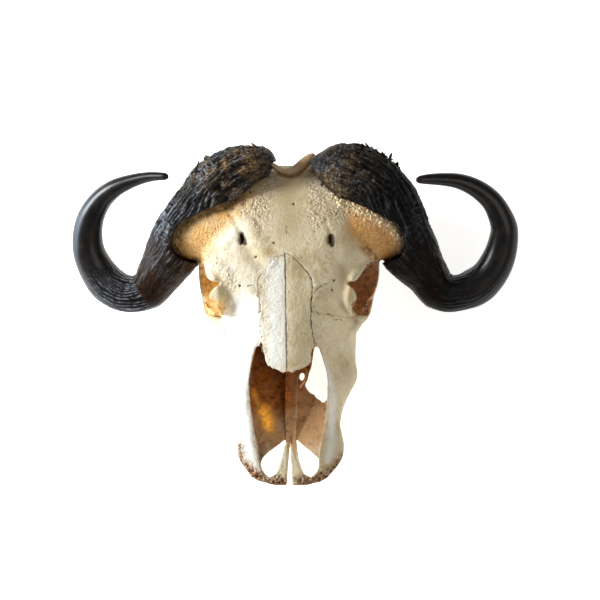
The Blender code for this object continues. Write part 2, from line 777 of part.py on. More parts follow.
def material(name, colour, roughness):
    """Makes a plain material of one colour."""
    made = bpy.data.materials.new(name)
    made.use_nodes = True
    shader = made.node_tree.nodes["Principled BSDF"]
    shader.inputs["Base Color"].default_value = (*colour, 1.0)
    shader.inputs["Roughness"].default_value = roughness
    shader.inputs["Metallic"].default_value = 0.0
    made.diffuse_color = (*colour, 1.0)
    return made


def close_slivers(obj):
    """Takes out edges too short to see, which the cuts leave behind."""
    bm = bmesh.new()
    bm.from_mesh(obj.data)
    bmesh.ops.triangulate(bm, faces=bm.faces)
    bmesh.ops.dissolve_degenerate(bm, dist=SLIVER, edges=bm.edges)
    bmesh.ops.triangulate(bm, faces=bm.faces)
    bm.to_mesh(obj.data)
    bm.free()


def skew_cheeks(bones):
    """Sets both cheeks and eye sockets a little to the animal's right, as it has grown."""
    for bone in bones:
        for vert in bone.data.vertices:
            reach = min(1.0, (vert.co.x / ORBIT_CENTRE[0]) ** 2)
            vert.co.x += CHEEK_SKEW * reach * math.exp(-((vert.co.y - SKEW_Y) / SKEW_SPAN) ** 2)
        bone.data.update()


def place(nodes):
    """Centres the skull over the origin, turns it to metres and dresses its pieces."""
    for node in nodes:
        close_slivers(node)
    corners = np.array([corner for node in nodes for corner in extent(node)])
    low, high = corners.min(axis=0), corners.max(axis=0)
    shift = Vector((-(low[0] + high[0]) / 2, -(low[1] + high[1]) / 2, -low[2]))
    for node in nodes:
        node.data.transform(Matrix.Scale(MM, 4) @ Matrix.Translation(shift))
        colour, roughness = HORN_LOOK if node.name.startswith("horn") else BONE_LOOK
        node.data.materials.clear()
        node.data.materials.append(material(node.name, colour, roughness))
        node.data.shade_smooth()
        node.data.set_sharp_from_angle(angle=math.radians(50))


def main():
    """Builds the skull."""
    for old in list(bpy.data.objects):
        bpy.data.objects.remove(old)
    bone = hollow_bone(build_bone())
    bone = set_teeth(lightened(bone, BONE_TRIANGLES))
    bones = part_bones(bone)
    skew_cheeks(bones)
    horns = [build_horn(-1, "horn_right", bones[0]), build_horn(1, "horn_left", bones[0])]
    place([*bones, *horns])


if __name__ == "__main__":
    main()
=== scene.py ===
"""Skull of an African buffalo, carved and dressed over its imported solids.

Lengths are in millimetres where a name ends in _mm or a comment says so, and in metres
elsewhere. A place named as seen is a point of the square picture, 600 points across, counted
from its upper left corner. What stands nearer to the camera is further out.
"""
import logging
import math
from dataclasses import dataclass
from enum import Enum
from functools import cached_property
from typing import Any, Callable, Iterable, Sequence

import bmesh
import bpy
import numpy as np
from mathutils import Matrix, Vector
from mathutils.bvhtree import BVHTree


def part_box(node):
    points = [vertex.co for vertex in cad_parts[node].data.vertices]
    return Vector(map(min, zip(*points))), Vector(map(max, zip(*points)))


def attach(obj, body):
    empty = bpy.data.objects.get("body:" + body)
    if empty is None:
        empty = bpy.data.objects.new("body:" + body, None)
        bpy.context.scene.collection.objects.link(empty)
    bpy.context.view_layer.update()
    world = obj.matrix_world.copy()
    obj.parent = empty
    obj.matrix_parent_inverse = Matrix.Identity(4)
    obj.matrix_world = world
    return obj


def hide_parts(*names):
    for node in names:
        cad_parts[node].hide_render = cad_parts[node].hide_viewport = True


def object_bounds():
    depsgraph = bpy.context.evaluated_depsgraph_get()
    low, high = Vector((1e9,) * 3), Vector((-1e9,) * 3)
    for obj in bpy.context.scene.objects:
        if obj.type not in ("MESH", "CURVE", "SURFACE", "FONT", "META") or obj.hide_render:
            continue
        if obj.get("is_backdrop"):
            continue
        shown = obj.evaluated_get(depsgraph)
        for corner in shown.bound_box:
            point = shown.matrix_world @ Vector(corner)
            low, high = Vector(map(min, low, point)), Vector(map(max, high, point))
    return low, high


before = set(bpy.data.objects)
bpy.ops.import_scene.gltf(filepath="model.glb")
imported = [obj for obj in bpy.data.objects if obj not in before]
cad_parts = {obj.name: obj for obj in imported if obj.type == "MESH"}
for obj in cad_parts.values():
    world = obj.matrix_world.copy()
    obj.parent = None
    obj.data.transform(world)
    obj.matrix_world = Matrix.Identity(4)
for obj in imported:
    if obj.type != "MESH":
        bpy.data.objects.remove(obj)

LOG = logging.getLogger("buffalo_skull")
MM = 0.001
PICTURE = 600.0
PICTURE_MIDDLE = PICTURE / 2.0
Point = tuple[float, float]
Colour = tuple[float, float, float, float]
Array = np.ndarray
Object = bpy.types.Object
Mesh = bpy.types.Mesh
Material = bpy.types.Material
Socket = bpy.types.NodeSocket
BLACK: Colour = (0.0, 0.0, 0.0, 1.0)
WHITE: Colour = (1.0, 1.0, 1.0, 1.0)


def ease(values: Array, low: float, high: float) -> Array:
    """Rises smoothly from 0 at low to 1 at high, or falls where low is the larger."""
    share = np.clip((values - low) / (high - low), 0.0, 1.0)
    return share * share * (3.0 - 2.0 * share)


def spline(rows: Array, count: int) -> tuple[Array, float]:
    """Runs a smooth curve through rows of numbers that begin with a place.

    Args:
        rows: The rows.
        count: How many rows are read off the curve, evenly along it.

    Returns:
        The new rows and the curve's length.
    """
    steps = np.linalg.norm(np.diff(rows[:, :3], axis=0), axis=1)
    marks = np.concatenate([[0.0], np.cumsum(steps)])
    at = np.linspace(0.0, marks[-1], count)
    slopes = np.gradient(rows, marks, axis=0)
    index = np.clip(np.searchsorted(marks, at) - 1, 0, len(marks) - 2)
    width = (marks[index + 1] - marks[index])[:, None]
    share = (at[:, None] - marks[index][:, None]) / width
    ahead = share - 1.0
    curve = ((1 + 2 * share) * ahead ** 2 * rows[index]
             + share * ahead ** 2 * width * slopes[index]
             + share ** 2 * (3 - 2 * share) * rows[index + 1]
             + share ** 2 * ahead * width * slopes[index + 1])
    return curve, float(marks[-1])


def line_distance(points: Array, line: Sequence[Point]) -> Array:
    """Measures how far points in a plane lie from a line of straight steps.

    Args:
        points: The points, one row each.
        line: The corners of the line.

    Returns:
        One distance for each point.
    """
    best = np.full(len(points), np.inf)
    for start, end in zip(line[:-1], line[1:]):
        start, step = np.array(start), np.subtract(end, start)
        share = np.clip(((points - start) @ step) / max(step @ step, 1e-9), 0.0, 1.0)
        best = np.minimum(best, np.linalg.norm(points - start - share[:, None] * step, axis=1))
    return best


def within(points: Array, outline: Sequence[Point]) -> Array:
    """Measures how deep points lie inside an outline, below zero outside it.

    Args:
        points: The points, one row each.
        outline: The corners of the outline, which closes by itself.

    Returns:
        One signed distance for each point.
    """
    inside = np.zeros(len(points), bool)
    loop = [*outline, outline[0]]
    for (ax, ay), (bx, by) in zip(loop[:-1], loop[1:]):
        spans = (points[:, 1] < ay) != (points[:, 1] < by)
        level = (points[:, 1] - ay) / ((by - ay) or 1e-9)
        inside ^= spans & (points[:, 0] < ax + level * (bx - ax))
    return np.where(inside, 1.0, -1.0) * line_distance(points, loop)


@dataclass(frozen=True)
class Grain:
    """Noise that gives the same value at the same place on every piece.

    Attributes:
        seed: The number that tells one field from another.
    """

    seed: int

    def _draw(self, cells: Array, turn: int = 0) -> Array:
        """Draws a number from 0 to 1 for each whole-numbered cell, another one each turn."""
        mixed = (cells[..., 0] * 73856093) ^ (cells[..., 1] * 19349663)
        mixed ^= (cells[..., 2] * 83492791) ^ ((self.seed * 7 + turn) * 2654435)
        mixed = ((mixed ^ (mixed >> 13)) * 1274126177) & 0xFFFFFFFF
        return ((mixed ^ (mixed >> 16)) & 0xFFFFFF) / float(0xFFFFFF)

    def smooth(self, points: Array, size: float | Sequence[float]) -> Array:
        """Gives rolling noise from -1 to 1.

        Args:
            points: The places, one row each.
            size: The size of the swells, or one size for each axis.

        Returns:
            One value for each point.
        """
        places = points / np.asarray(size, float)
        cells = np.floor(places).astype(np.int64)
        part = places - cells
        part = part * part * (3.0 - 2.0 * part)
        total = np.zeros(len(points))
        for corner in np.ndindex(2, 2, 2):
            weight = np.prod(np.where(np.array(corner), part, 1.0 - part), axis=1)
            total += weight * self._draw(cells + np.array(corner))
        return total * 2.0 - 1.0

    def layered(self, points: Array, size: float | Sequence[float], layers: int = 3) -> Array:
        """Adds up finer and finer rolling noise, from about -1 to 1.

        Args:
            points: The places, one row each.
            size: The size of the largest swells, or one size for each axis.
            layers: How many noises are added up.

        Returns:
            One value for each point.
        """
        sizes = np.asarray(size, float)
        total = sum(self.smooth(points + 31.7 * k, sizes / 2.1 ** k) / 2.0 ** k
                    for k in range(layers))
        return total / (2.0 - 2.0 ** (1 - layers))

    def cells(self, points: Array, size: float | Sequence[float]) -> tuple[Array, Array]:
        """Measures the way to scattered seeds, counted in cells.

        Args:
            points: The places, one row each.
            size: The mean way from seed to seed, or one for each axis.

        Returns:
            The distance to the nearest seed, and how much further the next one is.
        """
        places = points / np.asarray(size, float)
        home = np.floor(places).astype(np.int64)
        first = np.full(len(points), 9.0)
        second = first.copy()
        for step in np.ndindex(3, 3, 3):
            cell = home + np.array(step) - 1
            seed = np.stack([self._draw(cell, turn) for turn in (1, 2, 3)], axis=1)
            gap = np.linalg.norm(cell + seed - places, axis=1)
            second = np.minimum(second, np.maximum(first, gap))
            first = np.minimum(first, gap)
        return first, second - first


@dataclass(frozen=True)
class FacePlane:
    """The sloping plane of the face, which the solids are drawn on.

    Attributes:
        lean: The angle between the plane and the floor, in degrees.
        datum_mm: The reading along the plane over the frame's own middle.
        muzzle_mm: How far before that middle the muzzle ends.
    """

    lean: float = 20.0
    datum_mm: float = 252.0
    muzzle_mm: float = 292.0

    def middle(self) -> tuple[float, float]:
        """Finds the midline and the plane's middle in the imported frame, in millimetres."""
        inner = (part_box("nasal_left")[0][0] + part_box("nasal_right")[1][0]) / 2.0
        return inner / MM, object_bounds()[0][1] / MM + self.muzzle_mm

    def slope(self) -> tuple[float, float]:
        """Gives the cosine and the sine of the lean."""
        return math.cos(math.radians(self.lean)), math.sin(math.radians(self.lean))

    def read(self, points_mm: Array) -> Array:
        """Turns places in the frame into readings on the plane.

        Args:
            points_mm: The places, one row each.

        Returns:
            The reading across, along and out from the plane for each place.
        """
        x, y = MIDDLE
        cos, sin = self.slope()
        rise = points_mm[:, 1] - y
        return np.stack([points_mm[:, 0] - x,
                         self.datum_mm + rise * cos + points_mm[:, 2] * sin,
                         points_mm[:, 2] * cos - rise * sin], axis=1)

    def place(self, across: float, along: float, height: float) -> Vector:
        """Finds a place in the frame from its height over the floor.

        Args:
            across: The reading across the plane.
            along: The reading along the plane.
            height: The height over the floor.

        Returns:
            The place, in millimetres.
        """
        x, y = MIDDLE
        cos, sin = self.slope()
        rise = (along - self.datum_mm - height * sin) / cos
        return Vector((across + x, rise + y, height))

    def place_off(self, across: float, along: float, out: float) -> Vector:
        """Finds a place in the frame from its way off the plane.

        Args:
            across: The reading across the plane.
            along: The reading along the plane.
            out: The reading out from the plane.

        Returns:
            The place, in millimetres.
        """
        x, y = MIDDLE
        cos, sin = self.slope()
        rise = along - self.datum_mm
        return Vector((across + x, rise * cos - out * sin + y, rise * sin + out * cos))

    def outward(self) -> Vector:
        """Gives the direction that stands off the plane."""
        cos, sin = self.slope()
        return Vector((0.0, -sin, cos))


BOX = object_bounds()
FACE = FacePlane()
MIDDLE = FACE.middle()
BOX_MARGIN_MM = 0.02
CREASE_RANGE = 25.0
LOCATE_STEP = 4000


@dataclass(frozen=True)
class Viewpoint:
    """The place that the photograph was taken from.

    Attributes:
        elevation: The height of the view over the floor's plane, in degrees.
        yaw: How far the view stands to the skull's left, in degrees.
        distance: The way from the camera to the middle of the picture.
        pixel_mm: What one point of the picture covers there.
        nasion: Where the top of the nose is seen.
        nasion_along_mm: Where it lies along the face plane.
        nasion_height_mm: How high it lies over the floor.
        sensor: The camera's film width in Blender's units.
        far: How far the camera sees.
    """

    elevation: float = 72.0
    yaw: float = 6.0
    distance: float = 3.0
    pixel_mm: float = 1.38
    nasion: Point = (285.4, 254.0)
    nasion_along_mm: float = 317.0
    nasion_height_mm: float = 190.0
    sensor: float = 36.0
    far: float = 60.0

    def axes(self) -> tuple[Vector, Vector, Vector]:
        """Gives the directions to the right, up and towards the camera."""
        lean, yaw = math.radians(90.0 - self.elevation), math.radians(self.yaw)
        up = Vector((0.0, math.cos(lean), math.sin(lean)))
        ahead = Vector((0.0, -math.sin(lean), math.cos(lean)))
        towards = (ahead * math.cos(yaw) + Vector((math.sin(yaw), 0.0, 0.0))).normalized()
        right = up.cross(towards).normalized()
        return right, towards.cross(right), towards

    def target(self) -> Vector:
        """Finds the place under the middle of the picture."""
        right, up, _ = self.axes()
        pivot = FACE.place(0.0, self.nasion_along_mm, self.nasion_height_mm) * MM
        aside, above = PICTURE_MIDDLE - self.nasion[0], self.nasion[1] - PICTURE_MIDDLE
        return pivot + (right * aside + up * above) * (self.pixel_mm * MM)

    def position(self) -> Vector:
        """Finds the camera's own place."""
        return self.target() + self.axes()[2] * self.distance

    def seen(self, points_mm: Array) -> Array:
        """Finds where places in the frame lie in the picture.

        Args:
            points_mm: The places, one row each.

        Returns:
            Two readings for each place, to the right and down.
        """
        right, up, towards = (np.array(axis) for axis in self.axes())
        away = points_mm * MM - np.array(self.position())
        scale = self.distance / (self.pixel_mm * MM) / -(away @ towards)
        return np.stack([PICTURE_MIDDLE + (away @ right) * scale,
                         PICTURE_MIDDLE - (away @ up) * scale], axis=1)

    def place_seen(self, point: Point, out_mm: float) -> Vector:
        """Finds the place that is seen at a point of the picture.

        Args:
            point: The point of the picture.
            out_mm: How far out from the face plane the place lies.

        Returns:
            The place, in millimetres.
        """
        right, up, _ = self.axes()
        eye = self.position() / MM
        aside, above = point[0] - PICTURE_MIDDLE, PICTURE_MIDDLE - point[1]
        ray = self.target() / MM + (right * aside + up * above) * self.pixel_mm - eye
        base = Vector((MIDDLE[0], MIDDLE[1], 0.0))
        reach = (out_mm - FACE.outward().dot(eye - base)) / FACE.outward().dot(ray)
        return eye + ray * reach

    def camera(self) -> None:
        """Sets the camera up."""
        data = bpy.data.cameras.new("camera")
        data.sensor_width = self.sensor
        data.lens = self.sensor * self.distance / (PICTURE * self.pixel_mm * MM)
        data.clip_end = self.far
        camera = bpy.data.objects.new("camera", data)
        bpy.context.scene.collection.objects.link(camera)
        turn = Matrix(self.axes()).transposed().to_4x4()
        turn.translation = self.position()
        camera.matrix_world = turn
        bpy.context.scene.camera = camera


VIEW = Viewpoint()


@dataclass(frozen=True)
class Stroke:
    """A soft stroke along a line of the picture.

    Attributes:
        line: The line.
        reach: How far to each side it fades out, in points of the picture.
        strength: Its strength, or its height in millimetres, below zero for a groove.
    """

    line: tuple[Point, ...]
    reach: float
    strength: float = 1.0


class Clay:
    """The mesh of one piece while its points are pushed about and painted.

    Attributes:
        obj: The piece.
        mm: Where its points lie, in millimetres.
        normal: The direction that each point faces.
        seen: Where the picture shows each point.
        face: Each point's readings across, along and out from the face plane.
        facing: How squarely each point faces the camera, with 1 for fully.
    """

    def __init__(self, obj: Object) -> None:
        """Takes an object's mesh in hand."""
        self.obj = obj
        self.refresh()

    def refresh(self) -> None:
        """Reads the points again, with their directions and readings."""
        mesh = self.obj.data
        count = len(mesh.vertices)
        flat = np.empty(count * 3, np.float32)
        mesh.vertices.foreach_get("co", flat)
        self.mm = flat.reshape(-1, 3).astype(float) / MM
        mesh.vertex_normals.foreach_get("vector", flat)
        self.normal = flat.reshape(-1, 3).astype(float)
        self.seen = VIEW.seen(self.mm)
        self.face = FACE.read(self.mm)
        self.facing = self.normal @ np.array(VIEW.axes()[2])

    def move(self, shifts_mm: Array) -> None:
        """Moves every point by its own shift."""
        self.mm = self.mm + shifts_mm
        flat = np.ascontiguousarray(self.mm * MM, np.float32).ravel()
        self.obj.data.vertices.foreach_set("co", flat)
        self.obj.data.update()
        self.refresh()

    def push(self, amounts_mm: Array) -> None:
        """Pushes every point out along its own direction."""
        self.move(self.normal * amounts_mm[:, None])

    def paint(self, name: str, values: Array) -> None:
        """Keeps a value from 0 to 1 on every point for the finish to read."""
        layer = self.obj.data.attributes.new(name, "FLOAT", "POINT")
        layer.data.foreach_set("value", np.clip(values, 0.0, 1.0).astype(np.float32))

    def mark(self, name: str, rows: Array) -> None:
        """Keeps a place on every point for the finish to read."""
        layer = self.obj.data.attributes.new(name, "FLOAT_VECTOR", "POINT")
        layer.data.foreach_set("vector", np.ascontiguousarray(rows, np.float32).ravel())

    def near(self, line: Sequence[Point], reach: float) -> Array:
        """Gives 1 on a line of the picture, fading to 0 at a reach, on what faces the camera."""
        fade = 1.0 - ease(line_distance(self.seen, line), 0.0, reach)
        return fade * ease(self.facing, 0.0, 0.25)

    def strokes(self, strokes: Sequence[Stroke]) -> list[Array]:
        """Gives the strength of each of some strokes on every point."""
        return [self.near(stroke.line, stroke.reach) * stroke.strength for stroke in strokes]


class Bench:
    """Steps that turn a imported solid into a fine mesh."""

    @staticmethod
    def settle(obj: Object) -> None:
        """Gives an object the mesh that its modifiers make, and drops them."""
        graph = bpy.context.evaluated_depsgraph_get()
        mesh = bpy.data.meshes.new_from_object(obj.evaluated_get(graph))
        obj.modifiers.clear()
        old, obj.data = obj.data, mesh
        bpy.data.meshes.remove(old)

    @classmethod
    def modify(cls, obj: Object, kind: str, **settings: Any) -> None:
        """Runs one modifier on an object.

        Args:
            obj: The object.
            kind: Blender's name for the modifier's type.
            settings: Its settings.
        """
        made = obj.modifiers.new(kind, kind)
        for name, setting in settings.items():
            setattr(made, name, setting)
        cls.settle(obj)

    @staticmethod
    def new(name: str, mesh: Mesh) -> Object:
        """Puts a mesh into the scene.

        Args:
            name: The name of its object.
            mesh: The mesh.

        Returns:
            The object.
        """
        obj = bpy.data.objects.new(name, mesh)
        bpy.context.scene.collection.objects.link(obj)
        return obj

    @staticmethod
    def mesh(work: bmesh.types.BMesh, name: str) -> Mesh:
        """Turns corners and faces that were put together into a mesh.

        Args:
            work: The corners and faces, which are let go.
            name: The mesh's name.

        Returns:
            The mesh.
        """
        mesh = bpy.data.meshes.new(name)
        work.to_mesh(mesh)
        work.free()
        return mesh

    @staticmethod
    def band(work: bmesh.types.BMesh, low: Sequence[bmesh.types.BMVert],
             high: Sequence[bmesh.types.BMVert]) -> None:
        """Closes the band between two rings.

        Args:
            work: What the rings belong to.
            low: The corners of the one.
            high: As many corners of the other.
        """
        for k in range(len(low)):
            after = (k + 1) % len(low)
            work.faces.new((low[k], low[after], high[after], high[k]))

    @classmethod
    def block(cls, low: Sequence[Vector], high: Sequence[Vector]) -> Object:
        """Makes a closed block between two outlines.

        Args:
            low: The corners of the one, in millimetres.
            high: As many corners of the other.

        Returns:
            The block.
        """
        work = bmesh.new()
        ends = [[work.verts.new(place * MM) for place in outline] for outline in (low, high)]
        cls.band(work, *ends)
        for end in ends:
            work.faces.new(end)
        bmesh.ops.triangulate(work, faces=work.faces)
        bmesh.ops.recalc_face_normals(work, faces=work.faces)
        return cls.new("block", cls.mesh(work, "block"))

    @classmethod
    def copy(cls, node: str, name: str, crease_angle: float) -> Object:
        """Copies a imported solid, joined at its corners, with its hard edges marked.

        Args:
            node: The solid's name.
            name: The copy's name.
            crease_angle: The bend over which an edge stays hard, in degrees.

        Returns:
            The copy.
        """
        work = bmesh.new()
        work.from_mesh(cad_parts[node].data)
        bmesh.ops.remove_doubles(work, verts=work.verts, dist=1e-6)
        crease = work.edges.layers.float.new("crease_edge")
        for edge in work.edges:
            if len(edge.link_faces) == 2:
                bend = math.degrees(edge.calc_face_angle(0.0))
                edge[crease] = min(1.0, max(0.0, (bend - crease_angle) / CREASE_RANGE))
        return cls.new(name, cls.mesh(work, name))

    @classmethod
    def remesh(cls, obj: Object, voxel_mm: float, smooth_steps: int) -> None:
        """Lays an even mesh over an object and smooths it."""
        cls.modify(obj, "REMESH", mode="VOXEL", voxel_size=voxel_mm * MM)
        cls.modify(obj, "SMOOTH", factor=0.5, iterations=smooth_steps)

    @classmethod
    def cut(cls, obj: Object, tool: Object) -> None:
        """Takes one closed shape away from another, and the tool with it."""
        cls.modify(obj, "BOOLEAN", operation="DIFFERENCE", solver="MANIFOLD", object=tool)
        bpy.data.objects.remove(tool)

    @classmethod
    def prism(cls, outline: Sequence[Point], from_mm: float, to_mm: float) -> Object:
        """Makes a closed block that the picture shows as an outline.

        Args:
            outline: The outline's points in the picture.
            from_mm: How far out from the face plane it begins.
            to_mm: How far out from the face plane it ends.

        Returns:
            The block.
        """
        return cls.block(*([VIEW.place_seen(point, out) for point in outline]
                           for out in (from_mm, to_mm)))

    @staticmethod
    def refine(obj: Object, chosen: Callable[[Array, Array], Array]) -> None:
        """Halves some of a mesh's faces both ways.

        Args:
            obj: The object.
            chosen: Picks the faces from their middles, in millimetres, and directions.
        """
        work = bmesh.new()
        work.from_mesh(obj.data)
        work.faces.ensure_lookup_table()
        middles = np.array([face.calc_center_median() for face in work.faces]) / MM
        picked = chosen(middles, np.array([face.normal for face in work.faces]))
        edges = {edge for face, hit in zip(work.faces, picked) if hit for edge in face.edges}
        bmesh.ops.subdivide_edges(work, edges=list(edges), cuts=1, use_grid_fill=True)
        uneven = [face for face in work.faces if len(face.verts) > 4]
        bmesh.ops.triangulate(work, faces=uneven)
        work.to_mesh(obj.data)
        work.free()

    @staticmethod
    def keep_largest(obj: Object) -> None:
        """Drops every loose crumb of an object but the largest body."""
        work = bmesh.new()
        work.from_mesh(obj.data)
        waiting = set(work.verts)
        bodies = []
        while waiting:
            reached = {waiting.pop()}
            front = list(reached)
            while front:
                vert = front.pop()
                fresh = {edge.other_vert(vert) for edge in vert.link_edges} & waiting
                waiting -= fresh
                reached |= fresh
                front.extend(fresh)
            bodies.append(reached)
        bodies.sort(key=len)
        crumbs = [vert for body in bodies[:-1] for vert in body]
        bmesh.ops.delete(work, geom=crumbs, context="VERTS")
        work.to_mesh(obj.data)
        work.free()


class Link:
    """A socket in a finish, with sums on it that add their own nodes."""

    def __init__(self, recipe: "Recipe", socket: Socket) -> None:
        """Wraps a socket of a recipe."""
        self.recipe = recipe
        self.socket = socket

    def _sum(self, operation: str, first: Any, second: Any = None) -> "Link":
        """Adds one sum of numbers or links."""
        values = {0: first} if second is None else {0: first, 1: second}
        return self.recipe.node("ShaderNodeMath", {"operation": operation}, values)

    def __add__(self, other: "Link | float") -> "Link":
        """Adds."""
        return self._sum("ADD", self, other)

    def __radd__(self, other: float) -> "Link":
        """Adds to a number."""
        return self._sum("ADD", other, self)

    def __sub__(self, other: "Link | float") -> "Link":
        """Takes away."""
        return self._sum("SUBTRACT", self, other)

    def __rsub__(self, other: float) -> "Link":
        """Takes this away from a number."""
        return self._sum("SUBTRACT", other, self)

    def __mul__(self, other: "Link | float") -> "Link":
        """Multiplies."""
        return self._sum("MULTIPLY", self, other)

    def __rmul__(self, other: float) -> "Link":
        """Multiplies a number."""
        return self._sum("MULTIPLY", other, self)

    def power(self, exponent: float) -> "Link":
        """Raises to a power."""
        return self._sum("POWER", self, exponent)

    def most(self, other: "Link | float") -> "Link":
        """Takes the larger of two."""
        return self._sum("MAXIMUM", self, other)

    def band(self, low: float, high: float) -> "Link":
        """Rises smoothly from 0 at low to 1 at high, or falls where low is the larger."""
        return self.recipe.node("ShaderNodeMapRange", {"interpolation_type": "SMOOTHSTEP"},
                                {0: self, 1: low, 2: high, 3: 0.0, 4: 1.0})


class Cells(Enum):
    """What is measured among scattered seeds, by Blender's name for it."""

    TO_SEED = "F1"
    TO_BORDER = "DISTANCE_TO_EDGE"


class Network:
    """A tree of nodes while it is put together.

    Attributes:
        tree: The tree.
    """

    tree: bpy.types.NodeTree

    def add(self, kind: str, settings: dict[str, Any],
            values: dict[int | str, Any]) -> bpy.types.Node:
        """Adds a node.

        Args:
            kind: Blender's name for the node's type.
            settings: The node's own settings.
            values: A number, colour, socket or link for each input that is set.

        Returns:
            The node.
        """
        made = self.tree.nodes.new(kind)
        for name, setting in settings.items():
            setattr(made, name, setting)
        for key, value in values.items():
            source = value.socket if isinstance(value, Link) else value
            if isinstance(source, Socket):
                self.tree.links.new(source, made.inputs[key])
            else:
                made.inputs[key].default_value = source
        return made


class Recipe(Network):
    """The nodes of one finish."""

    def __init__(self, name: str) -> None:
        """Starts an empty finish."""
        self.material = bpy.data.materials.new(name)
        self.material.use_nodes = True
        self.tree = self.material.node_tree
        self.tree.nodes.clear()
        self.place = self.node("ShaderNodeTexCoord", {}, {}, "Object")

    def node(self, kind: str, settings: dict[str, Any], values: dict[int | str, Any],
             output: int | str = 0) -> Link:
        """Adds a node and gives one of its outputs, or an input where it has none."""
        made = self.add(kind, settings, values)
        return Link(self, made.outputs[output] if made.outputs else made.inputs[0])

    def read(self, name: str) -> Link:
        """Reads a value that was painted on the piece."""
        return self.node("ShaderNodeAttribute", {"attribute_name": name}, {}, "Fac")

    def read_place(self, name: str) -> Link:
        """Reads a place that was marked on the piece."""
        return self.node("ShaderNodeAttribute", {"attribute_name": name}, {}, "Vector")

    def stretch(self, place: Link, scale: tuple[float, float, float]) -> Link:
        """Scales a place by one number for each axis."""
        return self.node("ShaderNodeVectorMath", {"operation": "MULTIPLY"},
                         {0: place, 1: scale})

    def noise(self, size_mm: float, detail: float = 3.0, rough: float = 0.55,
              warp: float = 0.0, place: Link | None = None) -> Link:
        """Adds cloudy noise with swells of a size, from 0 to 1."""
        return self.node("ShaderNodeTexNoise", {},
                         {"Vector": place or self.place, "Scale": 1.0 / (size_mm * MM),
                          "Detail": detail, "Roughness": rough, "Distortion": warp})

    def cells(self, size_mm: float, way: Cells) -> Link:
        """Adds a distance among scattered seeds, in cells."""
        return self.node("ShaderNodeTexVoronoi", {"feature": way.value},
                         {"Vector": self.place, "Scale": 1.0 / (size_mm * MM)}, "Distance")

    def blend(self, base: Any, top: Any, factor: Any) -> Link:
        """Lays one colour over another."""
        return self.node("ShaderNodeMix", {"data_type": "RGBA"}, {0: factor, 6: base, 7: top}, 2)

    def lay(self, base: Any, coats: Sequence[tuple[Any, Any]]) -> Link:
        """Lays coats of colour over one another.

        Args:
            base: The colour under them.
            coats: A colour and how much of it shows for each coat, from the bottom up.

        Returns:
            The colour that they make.
        """
        for top, share in coats:
            base = self.blend(base, top, share)
        return base

    def finish(self, colour: Link, roughness: Any, bumps: Sequence[tuple[Link, float]],
               constants: dict[str, Any]) -> Material:
        """Closes the finish with its surface.

        Args:
            colour: What the base colour reads.
            roughness: A number or what the roughness reads.
            bumps: Heights from 0 to 1, each with its full height in millimetres.
            constants: Numbers for the surface's own sockets.

        Returns:
            The material.
        """
        normal = None
        for height, depth_mm in bumps:
            values = {"Height": height, "Distance": depth_mm * MM, "Strength": 1.0}
            if normal is not None:
                values["Normal"] = normal
            normal = self.node("ShaderNodeBump", {}, values)
        sockets = {"Base Color": colour, "Roughness": roughness, **constants}
        if normal is not None:
            sockets["Normal"] = normal
        surface = self.node("ShaderNodeBsdfPrincipled", {}, sockets)
        self.node("ShaderNodeOutputMaterial", {}, {"Surface": surface})
        return self.material


def tint(red: int, green: int, blue: int) -> Colour:
    """Turns a colour as a screen shows it into the light that it stands for.

    Args:
        red: The red in it, from 0 to 255.
        green: The green in it.
        blue: The blue in it.

    Returns:
        The colour.
    """
    parts = [c / 255.0 for c in (red, green, blue)]
    linear = [c / 12.92 if c <= 0.04045 else ((c + 0.055) / 1.055) ** 2.4 for c in parts]
    return (*linear, 1.0)


class Wear(Enum):
    """How the bone of a piece has aged."""

    WEATHERED = "open to the weather"
    INNER = "inside the nose"


